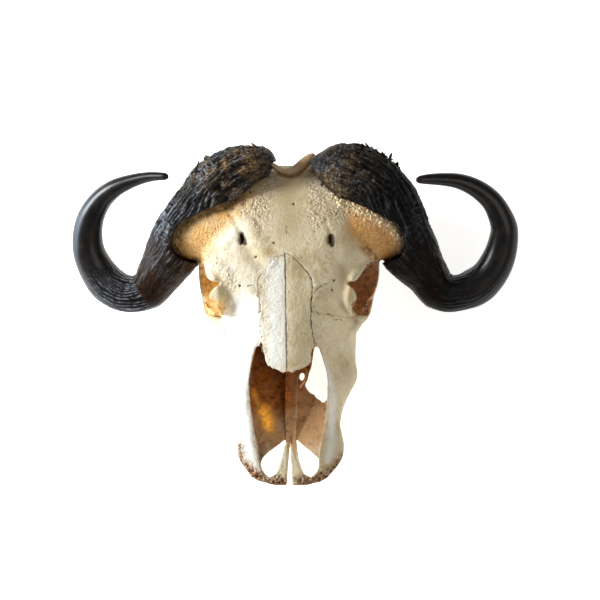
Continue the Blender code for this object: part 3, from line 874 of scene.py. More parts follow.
@dataclass(frozen=True)
class BoneFinish:
    """Dry, weathered bone, with a colour or a mixture for each of its parts, painted light and shade
    among them.

    Attributes:
        name: The finish's name.
        light: Clean bone.
        warm: Bone that has yellowed.
        washed: Bone that rain has cleaned.
        khaki: The brow's darker middle, and painted shade on the nasal and the eye socket's rim at the
            picture's right.
        grained: Fine, short strokes.
        blotched: Small blotches.
        painted_light: Painted light: bone near white where the light falls on the left side.
        dull: Painted shade along the inner edge of the lit cheek.
        cream: The spongy rim under a boss.
        grey: The rims of the eye sockets.
        pore: Pores and pits.
        seam: The dirt in seams, and painted shade in the holes over the eyes and in the eye socket at the
            picture's right.
        gold: Bone that the horn once covered, with its glints, net of lines and patches.
        flank: The sponge beside the bosses.
        tan: The thin bone inside the nose.
        stain_and_shade: Brown inside the nose, deepened with painted shade, and painted shade in the eye
            socket and horn core at the picture's right.
        amber: An eye socket that light falls into.
        lit: A thin wall that light shines through, and that light.
        margin: The ragged margins of the muzzle.
        enamel: The crowns of the teeth.
        roughness: How dull the bone is at its least.
    """

    name: str
    light: Colour = tint(226, 210, 174)
    warm: Colour = tint(200, 174, 126)
    washed: Colour = tint(236, 227, 204)
    khaki: Colour = tint(188, 166, 126)
    grained: Colour = tint(166, 138, 98)
    blotched: Colour = tint(186, 158, 114)
    painted_light: Colour = tint(240, 238, 230)
    dull: Colour = tint(104, 88, 66)
    cream: Colour = tint(255, 238, 196)
    grey: Colour = tint(142, 144, 144)
    pore: Colour = tint(84, 54, 31)
    seam: Colour = tint(62, 42, 28)
    gold: tuple[Colour, ...] = (tint(226, 162, 72), tint(250, 212, 132), tint(168, 104, 46),
                                tint(140, 82, 34))
    flank: tuple[Colour, ...] = (tint(238, 222, 190), tint(176, 126, 80))
    tan: tuple[Colour, ...] = (tint(216, 172, 122), tint(160, 112, 68))
    stain_and_shade: tuple[Colour, ...] = (tint(196, 112, 32), tint(128, 66, 20))
    amber: tuple[Colour, ...] = (tint(250, 212, 138), tint(220, 158, 82))
    lit: tuple[Colour, ...] = (tint(240, 166, 56), tint(250, 168, 52))
    margin: tuple[Colour, ...] = (tint(128, 78, 42), tint(212, 166, 114))
    enamel: tuple[Colour, ...] = (tint(222, 208, 176), tint(96, 70, 42))
    roughness: float = 0.52

    def material(self) -> Material:
        """Builds the finish."""
        mix = Recipe(self.name)
        broad = mix.noise(38.0, 3.0, 0.6)
        fine = mix.noise(3.0, 4.0, 0.62)
        blotch = mix.noise(12.0, 4.0, 0.65, 0.4)
        washed = mix.noise(17.0, 5.0, 0.7, 0.4)
        hair = mix.noise(1.6, 4.0, 0.7, 0.6, mix.stretch(mix.place, (1.0, 0.22, 0.6)))
        streak = mix.noise(7.0, 4.0, 0.62, 0.5)
        worn = mix.noise(4.0, 3.0, 0.6)
        pores = mix.cells(2.4, Cells.TO_SEED).band(0.32, 0.12) * mix.read("porous")
        colour = mix.lay(self.light, (
            (self.warm, broad.band(0.4, 0.75)),
            (self.washed, washed.band(0.46, 0.74) * 0.7),
            # the brow's darker middle, and painted shade on the right nasal and the right eye socket's
            # rim
            (self.khaki, mix.read("khaki") * 0.85),
            (self.warm, fine.band(0.52, 0.8) * 0.5),
            (self.grained, hair.band(0.56, 0.74) * 0.55),
            (self.blotched, blotch.band(0.56, 0.76) * 0.4),
            # painted light, near white, on the lit left side, and a painted highlight on the nose's right
            # rim
            (self.painted_light, mix.read("pale") * 0.8),
            # painted shade on the lit cheek's inner edge
            (self.dull, mix.read("shade")),
            (self.golden(mix), mix.read("gold")),
            (self.flesh(mix), mix.read("flank")),
            (self.cream, mix.read("cream")),
            (mix.blend(*self.tan, blotch.band(0.44, 0.7)), mix.read("tan")),
            # brown inside the nose with painted shade, and painted shade in the eye socket and horn core
            # at the picture's right
            (mix.blend(*self.stain_and_shade, streak.band(0.40, 0.68)), mix.read("stain_and_shade")),
            (mix.blend(*self.amber, streak.band(0.44, 0.64)), mix.read("amber")),
            (self.lit[0], mix.read("glow")),
            (self.grey, mix.read("grey") * 0.7),
            (mix.blend(*self.margin, fine.band(0.48, 0.68)), mix.read("brown")),
            (self.pore, (pores * 0.55).most(mix.read("pit"))),
            # dirt in the seams, with painted shade in the holes over the eyes and in the right eye socket
            (self.seam, mix.read("seam")),
            (mix.blend(*self.enamel, worn.band(0.55, 0.72)), mix.read("tooth"))))
        shine = mix.blend(BLACK, self.lit[1], mix.read("glow").power(2.4))
        return mix.finish(colour, fine.band(0.2, 0.8) * 0.18 + self.roughness,
                          [(mix.noise(1.0, 3.0, 0.6), 0.4), (fine, 0.7), (hair, 0.5),
                           (1.0 - pores, 0.6)],
                          {"Specular IOR Level": 0.3, "Emission Color": shine,
                           "Emission Strength": 0.6})

    def golden(self, mix: Recipe) -> Link:
        """Mixes the mottled gold of the horns' cores.

        Args:
            mix: The finish that it is a part of.

        Returns:
            The colour.
        """
        base, glint, net, patch = self.gold
        netted = mix.cells(4.5, Cells.TO_BORDER).band(0.09, 0.0)
        return mix.lay(base, ((glint, mix.noise(1.8, 3.0, 0.6).band(0.44, 0.68)),
                              (net, netted * 0.55),
                              (patch, mix.noise(6.0, 4.0, 0.62).band(0.6, 0.78) * 0.6)))

    def flesh(self, mix: Recipe) -> Link:
        """Mixes the pinkish brown of the sponge beside the bosses."""
        return mix.blend(*self.flank, mix.noise(2.2, 3.0, 0.65).band(0.46, 0.64))


@dataclass(frozen=True)
class HornFinish:
    """Dark horn, rough on the boss and satin on the hook, with its colours and its painted highlights and
    shade.

    Attributes:
        name: The finish's name.
        black: Satin horn.
        cloud: Its paler clouds.
        front: The broad front below the boss.
        cleft: Painted shade in the clefts.
        dim: The boss that lies in the shade.
        crust: Dried skin and dust in the boss.
        steel: Worn ridges with a painted bluish highlight, stronger on the picture's left.
        rust: Thin horn at its edges.
    """

    name: str
    black: Colour = tint(17, 15, 15)
    cloud: Colour = tint(36, 29, 25)
    front: tuple[Colour, ...] = (tint(48, 31, 19), tint(23, 17, 14))
    cleft: Colour = tint(10, 9, 9)
    dim: Colour = tint(9, 8, 8)
    crust: tuple[Colour, ...] = (tint(164, 134, 90), tint(74, 52, 34))
    steel: Colour = tint(206, 211, 222)
    rust: Colour = tint(104, 48, 26)

    def material(self) -> Material:
        """Builds the finish."""
        mix = Recipe(self.name)
        flow = mix.read_place("flow")
        fibres = mix.noise(2.2, 4.0, 0.62, 0.3, mix.stretch(flow, (0.10, 1.0, 1.0)))
        threads = mix.noise(1.5, 3.0, 0.6, 0.6, mix.stretch(flow, (0.3, 1.0, 1.0)))
        clouds = mix.noise(16.0, 4.0, 0.6, 0.3)
        rough = mix.read("rough")
        dust = mix.blend(*self.crust, mix.noise(3.0, 4.0, 0.65).band(0.44, 0.6))
        colour = mix.lay(self.black, (
            (self.cloud, clouds.band(0.42, 0.7)),
            (mix.blend(*self.front, fibres.band(0.42, 0.62)), mix.read("front")),
            # painted shade in the clefts
            (self.cleft, mix.read("cleft")),
            (self.dim, mix.read("dim") * 0.75),
            # worn ridge tops and the hook's rings, with a painted highlight that is stronger on the
            # picture's left
            (self.steel, mix.read("worn") * threads.band(0.42, 0.62)),
            (dust, mix.read("crust") * threads.band(0.34, 0.56)),
            (self.rust, mix.read("rust"))))
        grit = mix.noise(1.3, 3.0, 0.62)
        return mix.finish(colour, 0.27 + rough * 0.2 + fibres * 0.08,
                          [(fibres * (rough + 0.08), 1.2), (grit * rough, 1.2)],
                          {"Specular IOR Level": 0.06, "Coat Weight": mix.read("coat"),
                           "Coat Roughness": 0.3})


@dataclass(frozen=True)
class FloorFinish:
    """A plain pale floor.

    Attributes:
        name: The finish's name.
        pale: The floor's colours.
        glow: How strongly it shines by itself.
    """

    name: str = "pale_floor"
    pale: tuple[Colour, ...] = ((0.9, 0.9, 0.9, 1.0), (0.88, 0.88, 0.88, 1.0))
    glow: float = 0.72

    def material(self) -> Material:
        """Builds the finish."""
        mix = Recipe(self.name)
        shade = mix.blend(*self.pale, mix.noise(400.0, 2.0))
        return mix.finish(shade, 0.85, [], {"Specular IOR Level": 0.1, "Emission Color": WHITE,
                                            "Emission Strength": self.glow})


@dataclass
class BonePiece:
    """One bone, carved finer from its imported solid.

    Attributes:
        node: The solid that it stands for.
        voxel_mm: The width of its mesh's faces.
        smooth_steps: How often its mesh is smoothed.
        crease_angle: The bend over which an edge of the solid stays hard, in degrees.
        wear: How its bone has aged.
        closes_on: The solids that it is grown together with.
        open_to: The solids that it meets at an open seam.
        split_from: The solid that it meets at a wide, dark seam.
        broken: Outlines in the picture of what has broken away from it.
        broken_from_mm: How far out from the face plane the breaks begin.
        broken_to_mm: How far out from the face plane the breaks end.
        fine: The outline in the picture within which its mesh is finer.
        fine_from_mm: How far out from the face plane the finer mesh begins.
        kept_share: The share of its faces that is left in the end.
    """

    node: str
    voxel_mm: float
    smooth_steps: int = 3
    crease_angle: float = 34.0
    wear: Wear = Wear.WEATHERED
    closes_on: tuple[str, ...] = ()
    open_to: tuple[str, ...] = ()
    split_from: str = ""
    broken: tuple[tuple[Point, ...], ...] = ()
    broken_from_mm: float = 100.0
    broken_to_mm: float = 220.0
    fine: tuple[Point, ...] = ()
    fine_from_mm: float = 78.0
    kept_share: float = 1.0

    def build(self) -> Object:
        """Carves and dresses the bone."""
        obj = Bench.copy(self.node, f"{self.node}_bone", self.crease_angle)
        Bench.modify(obj, "SUBSURF", levels=2, render_levels=2)
        for outline in self.broken:
            Bench.cut(obj, Bench.prism(outline, self.broken_from_mm, self.broken_to_mm))
        Bench.remesh(obj, self.voxel_mm, self.smooth_steps)
        Bench.keep_largest(obj)
        if self.fine:
            Bench.refine(obj, self.picks)
        clay = Clay(obj)
        dirt = Seams.dirt(clay, self.open_to)
        if self.split_from:
            dirt = np.maximum(dirt, ease(Seams.way_to(clay, self.split_from), 1.7, 0.7))
        self.carve(clay)
        self.weather(clay)
        self.paint(clay, dirt)
        if self.kept_share < 1.0:
            Bench.modify(obj, "DECIMATE", ratio=self.kept_share)
        obj.data.shade_smooth()
        obj.data.materials.clear()
        obj.data.materials.append(BONES[self.wear])
        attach(obj, "root")
        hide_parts(self.node)
        return obj

    def picks(self, middles: Array, normals: Array) -> Array:
        """Picks the faces that get finer: high ones that the picture shows in the outline.

        Args:
            middles: The faces' middles, in millimetres.
            normals: The directions that they face.

        Returns:
            True for each face that is picked.
        """
        shown = within(VIEW.seen(middles), self.fine) > 0.0
        high = FACE.read(middles)[:, 2] > self.fine_from_mm
        return shown & high & (normals @ np.array(VIEW.axes()[2]) > -0.05)

    def carve(self, clay: Clay) -> None:
        """Closes and wavers the seams and raises the forms of the face."""
        for neighbour in self.closes_on:
            clay.push(Seams.closing(clay, neighbour))
        clay.move(Seams.waver(clay))
        clay.push(sum(clay.strokes(FORMS)) - 3.0 * Surface(clay).sunk)

    def weather(self, clay: Clay) -> None:
        """Roughens the bone as weather does."""
        skin = Surface(clay)
        calm = (1.0 - 0.75 * clay.near(Surface.SMOOTH_STRIP, 22.0)) * (1.0 - skin.sunk)
        lumps = Grain(3).layered(clay.mm, 17.0, 2) * 0.6
        grain = Grain(4).layered(clay.mm, 3.2, 2) * 0.34
        pits = ease(skin.pores, 0.36, 0.10) * skin.porous * 0.7
        sponge = np.max([skin.flank, skin.gold * 0.55, skin.rim * 0.7], axis=0)
        bubbles = sponge * (ease(skin.knots, 0.62, 0.15) - 0.5) * 1.6
        broken = skin.brown * (Grain(16).layered(clay.mm, 5.5, 2) * 2.6
                               - ease(skin.bites, 0.55, 0.2) * 3.4 - 0.2)
        clay.push((lumps + grain - pits) * calm + bubbles + broken - Seams.groove(clay) * 0.6)

    def paint(self, clay: Clay, dirt: Array) -> None:
        """Paints what the finish reads.

        Args:
            clay: The carved bone.
            dirt: How dirty its seams are at each point.
        """
        skin = Surface(clay)
        across = clay.face[:, 0]
        lip = np.maximum(clay.near(Surface.CORE_LEFT[1:8], 11.0),
                         clay.near(Surface.CORE_RIGHT[3:9], 9.0))
        # A patchy darker band along the horn core's edge under the boss's lip.
        lip_band = np.clip(lip * 2.2 * ease(Grain(27).layered(clay.mm, 5.0, 3), -0.25, 0.2), 0.0, 0.85)
        knobs = ease(skin.knots, 0.5, 0.8)
        pit = (ease(skin.pores, 0.34, 0.14) * skin.porous * 0.5 + knobs * skin.flank * 0.7
               + lip_band * skin.gold + knobs * skin.rim * 0.4
               + ease(skin.bites, 0.62, 0.25) * skin.brown)
        amber = (0.05 + 0.95 * ease(across, 0.0, -20.0)) * skin.socket
        amber = np.maximum(amber, clay.near(Surface.EYE_CORNER, 10.0) * 0.4)
        right = ease(across, 0.0, 20.0)
        inside = self.wear is Wear.INNER
        masks = {
            "porous": skin.porous,
            # pit: pores, pits and ragged bites, with painted shade in the small vessel holes
            "pit": np.maximum(pit, skin.holes),
            # dirt in the seams, with painted shade in the holes over the eyes and in the right eye socket
            "seam": np.max([dirt, Seams.groove(clay) * 0.9, skin.slots,
                            skin.socket * right * 0.4], axis=0),
            "gold": skin.gold,
            "flank": skin.flank,
            "cream": skin.cream,
            # brown inside the nose with painted shade, and painted shade in the eye socket and horn core
            # at the picture's right
            "stain_and_shade": np.max([skin.stain_and_shade, skin.socket - amber * 0.85,
                             skin.gold * right * 0.34], axis=0),
            "amber": amber,
            "tan": np.full(len(clay.mm), 0.9) if inside else skin.tan,
            "glow": skin.glow,
            "grey": skin.grey,
            # pale: painted light on the lit left side, and a painted highlight on the nose's right rim
            "pale": skin.pale,
            "khaki": skin.khaki,
            "shade": skin.shade,
            # brown margins of the muzzle, and painted shade at the ridge between the bosses and in its
            # groove
            "brown": np.clip(skin.brown * 1.1 + skin.crest_and_shadow, 0.0, 1.0),
            "tooth": skin.tooth}
        for name, values in masks.items():
            clay.paint(name, values)


FORMS: tuple[Stroke, ...] = (
    Stroke(((244, 245), (251, 256), (261, 268)), 9.0, -2.0),
    Stroke(((251, 228), (262, 247), (271, 262)), 11.0, 1.8),
    Stroke(((241, 233), (236, 222), (231, 215)), 5.0, -1.8),
    Stroke(((222, 246), (232, 238), (238, 228)), 7.0, 1.6),
    Stroke(((333, 247), (338, 262), (344, 274)), 11.0, -1.2),
    Stroke(((331, 234), (326, 222)), 4.0, -1.0),
    Stroke(((203, 258), (216, 262), (226, 270), (228, 279)), 7.0, 1.5),
    Stroke(((372, 262), (362, 268), (352, 276)), 7.0, 1.2),
    Stroke(((287, 262), (287.5, 300), (288.5, 366)), 22.0, 1.6),
    Stroke(((274, 168), (281, 173), (290, 175), (298, 172), (305, 166), (312, 158)), 5.5, -5.0),
    Stroke(((226, 300), (236, 312), (238, 330)), 9.0, -1.2),
    Stroke(((340, 345), (347, 362), (352, 378)), 8.0, 1.3),
    Stroke(((233, 345), (229, 362), (226, 378)), 8.0, 1.3),
)


class Seams:
    """The seams between the bones of the face, as the picture shows them."""

    BESIDE_NOSE_RIGHT = (
        (290, 252.5), (300.5, 259.5), (305.4, 266), (314, 275.6), (316, 280.5), (317, 291), (314, 302),
        (311, 305), (312, 316), (314.6, 330), (317.5, 345))
    BESIDE_NOSE_LEFT = (
        (285.4, 254), (269, 264), (266.5, 268), (263, 275), (260, 283), (259, 292), (261.6, 300),
        (264, 316), (261, 328), (263, 348))
    NOSE_MIDDLE = ((285.4, 254), (287, 300), (288.5, 373.6))
    TEAR_RIGHT = ((312.5, 294), (316, 290), (320, 287), (327, 283.5))
    CHEEK_RIGHT = (
        (312, 303), (315, 309), (318, 313), (323, 316), (327, 313.5), (332, 316), (335, 320), (340, 319),
        (345, 324))
    TEAR_LEFT = ((247.5, 286), (253, 285), (256.7, 291), (259, 292))
    OPEN = (BESIDE_NOSE_RIGHT, BESIDE_NOSE_LEFT)
    FINE = (TEAR_RIGHT, CHEEK_RIGHT, TEAR_LEFT, ((286.9, 226), (286.9, 233)))
    WAVER_MM = 2.7
    WAVER_SIZE = 4.0
    REACH_MM = 2.2
    CLOSING_MM = 0.8

    @classmethod
    def waver(cls, clay: Clay) -> Array:
        """Finds the shifts, in millimetres, that make straight seams run as real ones do."""
        near = np.max([clay.near(line, 9.0) for line in cls.OPEN]
                      + [clay.near(cls.NOSE_MIDDLE, 6.0) * 0.3], axis=0)
        shifts = np.stack([Grain(seed).layered(clay.mm, cls.WAVER_SIZE, 2) for seed in (11, 12)],
                          axis=1)
        right, up, _ = (np.array(axis) for axis in VIEW.axes())
        along = shifts[:, :1] * right + shifts[:, 1:] * up
        return along * near[:, None] * cls.WAVER_MM

    @classmethod
    def groove(cls, clay: Clay) -> Array:
        """Gives 1 in the fine seams that cross a bone."""
        return np.max([clay.near(line, 1.0) for line in cls.FINE], axis=0) * cls.patchy(clay)

    @classmethod
    def way_to(cls, clay: Clay, neighbour: str) -> Array:
        """Measures the way from each point to the next bone, up to a reach.

        Args:
            clay: The bone.
            neighbour: The solid of the next bone.

        Returns:
            One distance in millimetres for each point.
        """
        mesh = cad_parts[neighbour].data
        tree = BVHTree.FromPolygons([v.co / MM for v in mesh.vertices],
                                    [tuple(face.vertices) for face in mesh.polygons])
        low, high = (np.array(corner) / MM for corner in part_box(neighbour))
        close = np.all((clay.mm > low - cls.REACH_MM) & (clay.mm < high + cls.REACH_MM), axis=1)
        away = np.full(len(clay.mm), cls.REACH_MM)
        for index in np.flatnonzero(close):
            found = tree.find_nearest(clay.mm[index], cls.REACH_MM)[3]
            if found is not None:
                away[index] = found
        return away

    @classmethod
    def closing(cls, clay: Clay, neighbour: str) -> Array:
        """Finds how far a bone grows against the next one, in millimetres."""
        return ease(cls.way_to(clay, neighbour), cls.REACH_MM, 0.3) * cls.CLOSING_MM

    @classmethod
    def dirt(cls, clay: Clay, neighbours: Sequence[str]) -> Array:
        """Gives 1 in the seams that have filled with dirt, which comes and goes.

        Args:
            clay: The bone.
            neighbours: The solids beyond its seams.

        Returns:
            One value for each point.
        """
        ways = [cls.way_to(clay, neighbour) for neighbour in neighbours]
        away = np.min(ways, axis=0) if ways else np.full(len(clay.mm), cls.REACH_MM)
        lit = ease(clay.face[:, 2], 90.0, 110.0) * (1.0 - 0.5 * ease(clay.seen[:, 0], 274, 270))
        return ease(away, 1.2, 0.4) * cls.patchy(clay) * lit

    @classmethod
    def patchy(cls, clay: Clay) -> Array:
        """Gives how much of the dirt is left along a seam."""
        return 0.12 + 0.88 * ease(Grain(13).layered(clay.mm, 3.4, 2), -0.3, 0.3)


class Surface:
    """Where a bone is pitted, stained, bare of its old cover, or painted with light or shade, when it is
    taken up.

    Each answer is one number for every point of the bone. In the names of its lines and
    outlines, left and right are the picture's.
    """

    HOLES = (
        (239.8, 286), (334, 280.5), (332, 290), (294, 204), (322.6, 184.7), (249.6, 192), (274, 243),
        (256, 257))
    SLOTS = (((241.8, 234.5), (244.6, 243)), ((331.4, 236), (332.0, 245)))
    SMOOTH_STRIP = ((289, 182), (289, 230))
    CORE_LEFT = (
        (262, 184), (240, 200), (212, 207), (190, 215), (177, 228), (172, 245), (175, 262), (200, 266),
        (208, 252), (212, 238), (226, 226), (240, 214), (250, 202))
    CORE_RIGHT = (
        (345, 202), (360, 204), (380, 215), (400, 226), (408, 240), (407, 255), (397, 265), (378, 265),
        (364, 250), (352, 232), (346, 216))
    FLANK_LEFT = (
        (266, 174), (273, 186), (273, 210), (270, 238), (258, 234), (246, 217), (232, 211), (246, 201),
        (258, 190))
    FLANK_RIGHT = (
        (310, 166), (320, 176), (332, 190), (345, 201), (358, 206), (356, 214), (344, 222), (328, 226),
        (314, 236), (305, 224), (304, 200), (306, 180))
    RIM_RIGHT = ((334, 196), (345, 204), (357, 209), (377, 218), (393, 228), (402, 240), (404, 252))
    SOCKET_LEFT = (
        (197, 256), (205, 260), (212.5, 273.5), (219.5, 279), (223.7, 279), (217, 288), (216, 296),
        (224.4, 301), (226, 307), (222, 319), (206, 316), (200, 297), (197, 270))
    SOCKET_RIGHT = (
        (373, 258), (363, 273.5), (359.5, 277), (350, 279), (357.4, 285.4), (360.6, 294.7), (351, 304.4),
        (352, 309), (357, 315.5), (368, 316), (373, 299), (381, 294), (381, 262))
    EYE_CORNER = ((225, 301), (231, 312))
    GLOW = (Stroke(((264, 411), (267, 419), (269, 426)), 13.0),
            Stroke(((253.5, 391), (257, 401), (261, 410)), 6.0, 0.6))
    EYE_RIMS = (Stroke(((210, 256), (222, 268), (231, 284)), 15.0),
                Stroke(((371, 262), (360, 276)), 9.0))
    # Where light is painted near white on the lit left cheek and muzzle.
    LIT_CHEEK = (
        (262, 330), (258, 300), (242, 290), (224, 316), (222, 345), (224, 380), (240, 425), (238, 455),
        (258, 470), (252, 420), (252, 380))
    # Where light is painted on the left half of the nose.
    LIT_NOSE = ((276, 268), (277, 360))
    # A painted highlight along the nose's right rim, and painted light on the left brow.
    LIT_STROKES = (Stroke(((320, 358), (329, 378), (332.5, 400), (332.5, 440), (328, 460)), 6.5),
            Stroke(((236, 234), (234, 262), (252, 282)), 26.0, 0.3))
    # The lit cheek's inner edge, where shade is painted.
    CHEEK_EDGE = (
        (258, 350), (253, 368), (250, 390), (251, 410), (254, 430), (258, 446), (261, 458), (267, 470))
    # The nasal at the picture's right, where shade is painted.
    SHADED_NOSE = ((301, 268), (300, 362))
    # The brow's darker middle, and painted shade on the right eye socket's rim.
    DARK = (Stroke(((288, 176), (289, 196), (290, 226)), 30.0),
            Stroke(((342, 268), (345, 284), (349, 299)), 8.0, 0.9))
    MUZZLE = (Stroke(((238, 449), (239, 461), (250, 474), (264, 482), (284, 484)), 13.0),
              Stroke(((346, 459), (337, 471), (321, 480), (302, 484)), 13.0))
    # Painted shade at the ridge between the bosses and painted shadow in the groove before it.
    CREST = (Stroke(((297, 166), (303, 161), (312, 152)), 8.0, 0.75),
             Stroke(((279, 173), (290, 177), (298, 174), (305, 168), (311, 161)), 4.0, 0.9))
    SOCKET_MIDDLE = (112.0, -27.0, 128.0)
    SOCKET_SIZE = (48.0, 35.0, 32.0)
    AXIS_OUT_MM = 126.0

    def __init__(self, clay: Clay) -> None:
        """Takes up a bone."""
        self.mm, self.normal = clay.mm, clay.normal
        self.near, self.strokes = clay.near, clay.strokes
        self.seen, self.face, self.facing = clay.seen, clay.face, clay.facing

    @cached_property
    def pores(self) -> Array:
        """Gives the way to the nearest pore, in cells."""
        return Grain(5).cells(self.mm, 3.6)[0]

    @cached_property
    def knots(self) -> Array:
        """Gives the way to the nearest bead of spongy bone, in cells."""
        return Grain(6).cells(self.mm, 3.0)[0]

    @cached_property
    def bites(self) -> Array:
        """Gives the way to the nearest hole in a ragged margin, in cells."""
        return Grain(7).cells(self.mm, 4.2)[0]

    @cached_property
    def holes(self) -> Array:
        """Gives 1 in the small round holes for blood vessels, where shade is painted."""
        total = np.zeros(len(self.mm))
        for hole in self.HOLES:
            away = np.linalg.norm(self.seen - np.array(hole), axis=1)
            total = np.maximum(total, ease(away, 1.7, 0.4) * ease(self.facing, 0.1, 0.4))
        return total

    @cached_property
    def slots(self) -> Array:
        """Gives 1 in the long holes over the eyes, where shade is painted."""
        away = np.min([line_distance(self.seen, slot) for slot in self.SLOTS], axis=0)
        return ease(away, 3.2, 1.8) * ease(self.face[:, 2], 100.0, 120.0)

    @cached_property
    def gold(self) -> Array:
        """Gives 1 on the bases that the horn once covered."""
        left = ease(within(self.seen, self.CORE_LEFT), -9.0, 5.0)
        right = ease(within(self.seen, self.CORE_RIGHT), -7.0, 5.0)
        ragged = 0.75 + 0.25 * Grain(21).layered(self.mm, 12.0, 3)
        return np.maximum(left, right) * ragged * ease(self.facing, -0.3, 0.1)

    @cached_property
    def flank(self) -> Array:
        """Gives 1 on the sponge to both sides of the brow's smooth middle."""
        left = ease(within(self.seen, self.FLANK_LEFT), -7.0, 7.0)
        right = ease(within(self.seen, self.FLANK_RIGHT), -6.0, 8.0) * 0.8
        ragged = 0.65 + 0.8 * Grain(22).layered(self.mm, 8.0, 3)
        return np.clip(np.maximum(left, right) * ragged, 0.0, 1.0) * ease(self.facing, 0.0, 0.3)

    @cached_property
    def cream(self) -> Array:
        """Gives 1 on the spongy rim under the boss at the picture's right."""
        return self.near(self.RIM_RIGHT, 9.0)

    @cached_property
    def inner(self) -> Array:
        """Gives 1 on the walls that look into the nose's hollow."""
        across, along, out = self.face.T
        cos, sin = FACE.slope()
        turned = self.normal[:, 2] * cos - self.normal[:, 1] * sin
        down = self.AXIS_OUT_MM - out
        length = np.maximum(np.hypot(across, down), 1e-6)
        way = (self.normal[:, 0] * -across + turned * down) / length
        room = ease(np.abs(across), 64.0, 56.0) * ease(along, 272.0, 250.0)
        under = ease(self.mm[:, 2], 34.0, 28.0) * ease(along, 140.0, 160.0)
        return ease(way, -0.05, 0.3) * room * (1.0 - under) * ease(along, 28.0, 44.0)

    @cached_property
    def stain_and_shade(self) -> Array:
        """Gives 1 on the brown inside the nose, deepened with painted shade on the picture's left and
        further up under the nasals.
        """
        across, along, _ = self.face.T
        darker = np.maximum(ease(across, 14.0, -6.0) * ease(along, 78.0, 104.0),
                            ease(along, 130.0, 160.0))
        ragged = 0.9 + 0.3 * Grain(23).layered(self.mm, 15.0, 3)
        return np.clip(self.inner * (0.12 + 0.88 * darker) * ragged, 0.0, 1.0)

    @cached_property
    def tan(self) -> Array:
        """Gives 1 on the thin brown bone inside the nose."""
        return self.inner * 0.85

    @cached_property
    def glow(self) -> Array:
        """Gives 1 where light shines through the thin wall of the nose."""
        ragged = 0.85 + 0.5 * Grain(25).layered(self.mm, 4.0, 3)
        return np.clip(np.max(self.strokes(self.GLOW), axis=0) * ragged, 0.0, 1.0) * self.inner

    @cached_property
    def socket(self) -> Array:
        """Gives how deep in an eye socket a point lies, whichever way it looks."""
        total = np.zeros(len(self.mm))
        for side in (-1, 1):
            centre = np.array(self.SOCKET_MIDDLE) * np.array([side, 1.0, 1.0])
            centre = centre + np.array([MIDDLE[0], MIDDLE[1], 0.0])
            away = self.mm - centre
            near = np.linalg.norm(away / np.array(self.SOCKET_SIZE), axis=1)
            inward = -np.einsum("ij,ij->i", self.normal, away) / np.maximum(
                np.linalg.norm(away, axis=1), 1e-6)
            total = np.maximum(total, ease(near, 1.12, 0.98) * ease(inward, 0.0, 0.4))
        return np.maximum(total, self.sunk)

    @cached_property
    def sunk(self) -> Array:
        """Gives 1 on the low inner corners of the eye sockets."""
        shown = np.maximum(within(self.seen, self.SOCKET_LEFT),
                           within(self.seen, self.SOCKET_RIGHT))
        low = ease(self.face[:, 2], 168.0, 158.0) * ease(self.seen[:, 1], 296.0, 302.0)
        return ease(shown, -0.5, 1.0) * low * ease(self.facing, 0.0, 0.3)

    @cached_property
    def porous(self) -> Array:
        """Gives how spongy the bone is."""
        base = 0.3 + 0.5 * Grain(8).layered(self.mm, 26.0, 2)
        sponge = np.max([self.gold, self.cream, self.flank], axis=0)
        calm = 1.0 - 0.7 * self.near(self.SMOOTH_STRIP, 20.0)
        return np.clip((base + 0.6 * sponge) * calm, 0.0, 1.0)

    @cached_property
    def rim(self) -> Array:
        """Gives 1 on the pitted bone over the rims of the eye sockets."""
        return np.max(self.strokes(self.EYE_RIMS), axis=0)

    @cached_property
    def grey(self) -> Array:
        """Gives 1 where that bone is grey."""
        return np.clip(self.rim * (0.1 + 0.9 * Grain(9).layered(self.mm, 3.4, 3)), 0.0, 1.0)

    @cached_property
    def pale(self) -> Array:
        """Gives 1 where light is painted: the lit left cheek, nose and brow, and a highlight on the
        nose's right rim.
        """
        cheek = ease(within(self.seen, self.LIT_CHEEK), -10.0, 6.0) * ease(self.facing, 0.0, 0.4)
        nose = ease(self.seen[:, 0], 289.0, 284.0) * self.near(self.LIT_NOSE, 20.0)
        return np.max([cheek, nose, *self.strokes(self.LIT_STROKES)], axis=0)

    @cached_property
    def shade(self) -> Array:
        """Gives 1 on the painted shade along the inner edge of the lit cheek."""
        return self.near(self.CHEEK_EDGE, 12.0) * (0.85 + 0.3 * Grain(28).layered(self.mm, 9.0, 2))

    @cached_property
    def khaki(self) -> Array:
        """Gives 1 on the brow's darker middle, and on painted shade on the nasal and socket's rim at the
        picture's right.
        """
        nose = self.near(self.SHADED_NOSE, 15.0) * 0.5 * ease(self.seen[:, 0], 286.0, 292.0)
        return np.max([nose, *self.strokes(self.DARK)], axis=0)

    @cached_property
    def brown(self) -> Array:
        """Gives 1 on the ragged brown margins of the muzzle."""
        ragged = 0.9 + 0.8 * Grain(14).layered(self.mm, 6.0, 3)
        return np.clip(np.max(self.strokes(self.MUZZLE), axis=0) * ragged, 0.0, 1.0)

    @cached_property
    def crest_and_shadow(self) -> Array:
        """Gives 1 on brown painted shade at the ridge between the bosses and painted shadow in the groove
        before it.
        """
        return np.clip(sum(self.strokes(self.CREST)), 0.0, 1.0)

    @cached_property
    def tooth(self) -> Array:
        """Gives 1 on the crowns of the cheek teeth."""
        across = self.face[:, 0]
        side = ease(np.abs(np.abs(across) - 62.0), 19.0, 15.0)
        return ease(self.mm[:, 2], 17.0, 12.0) * side


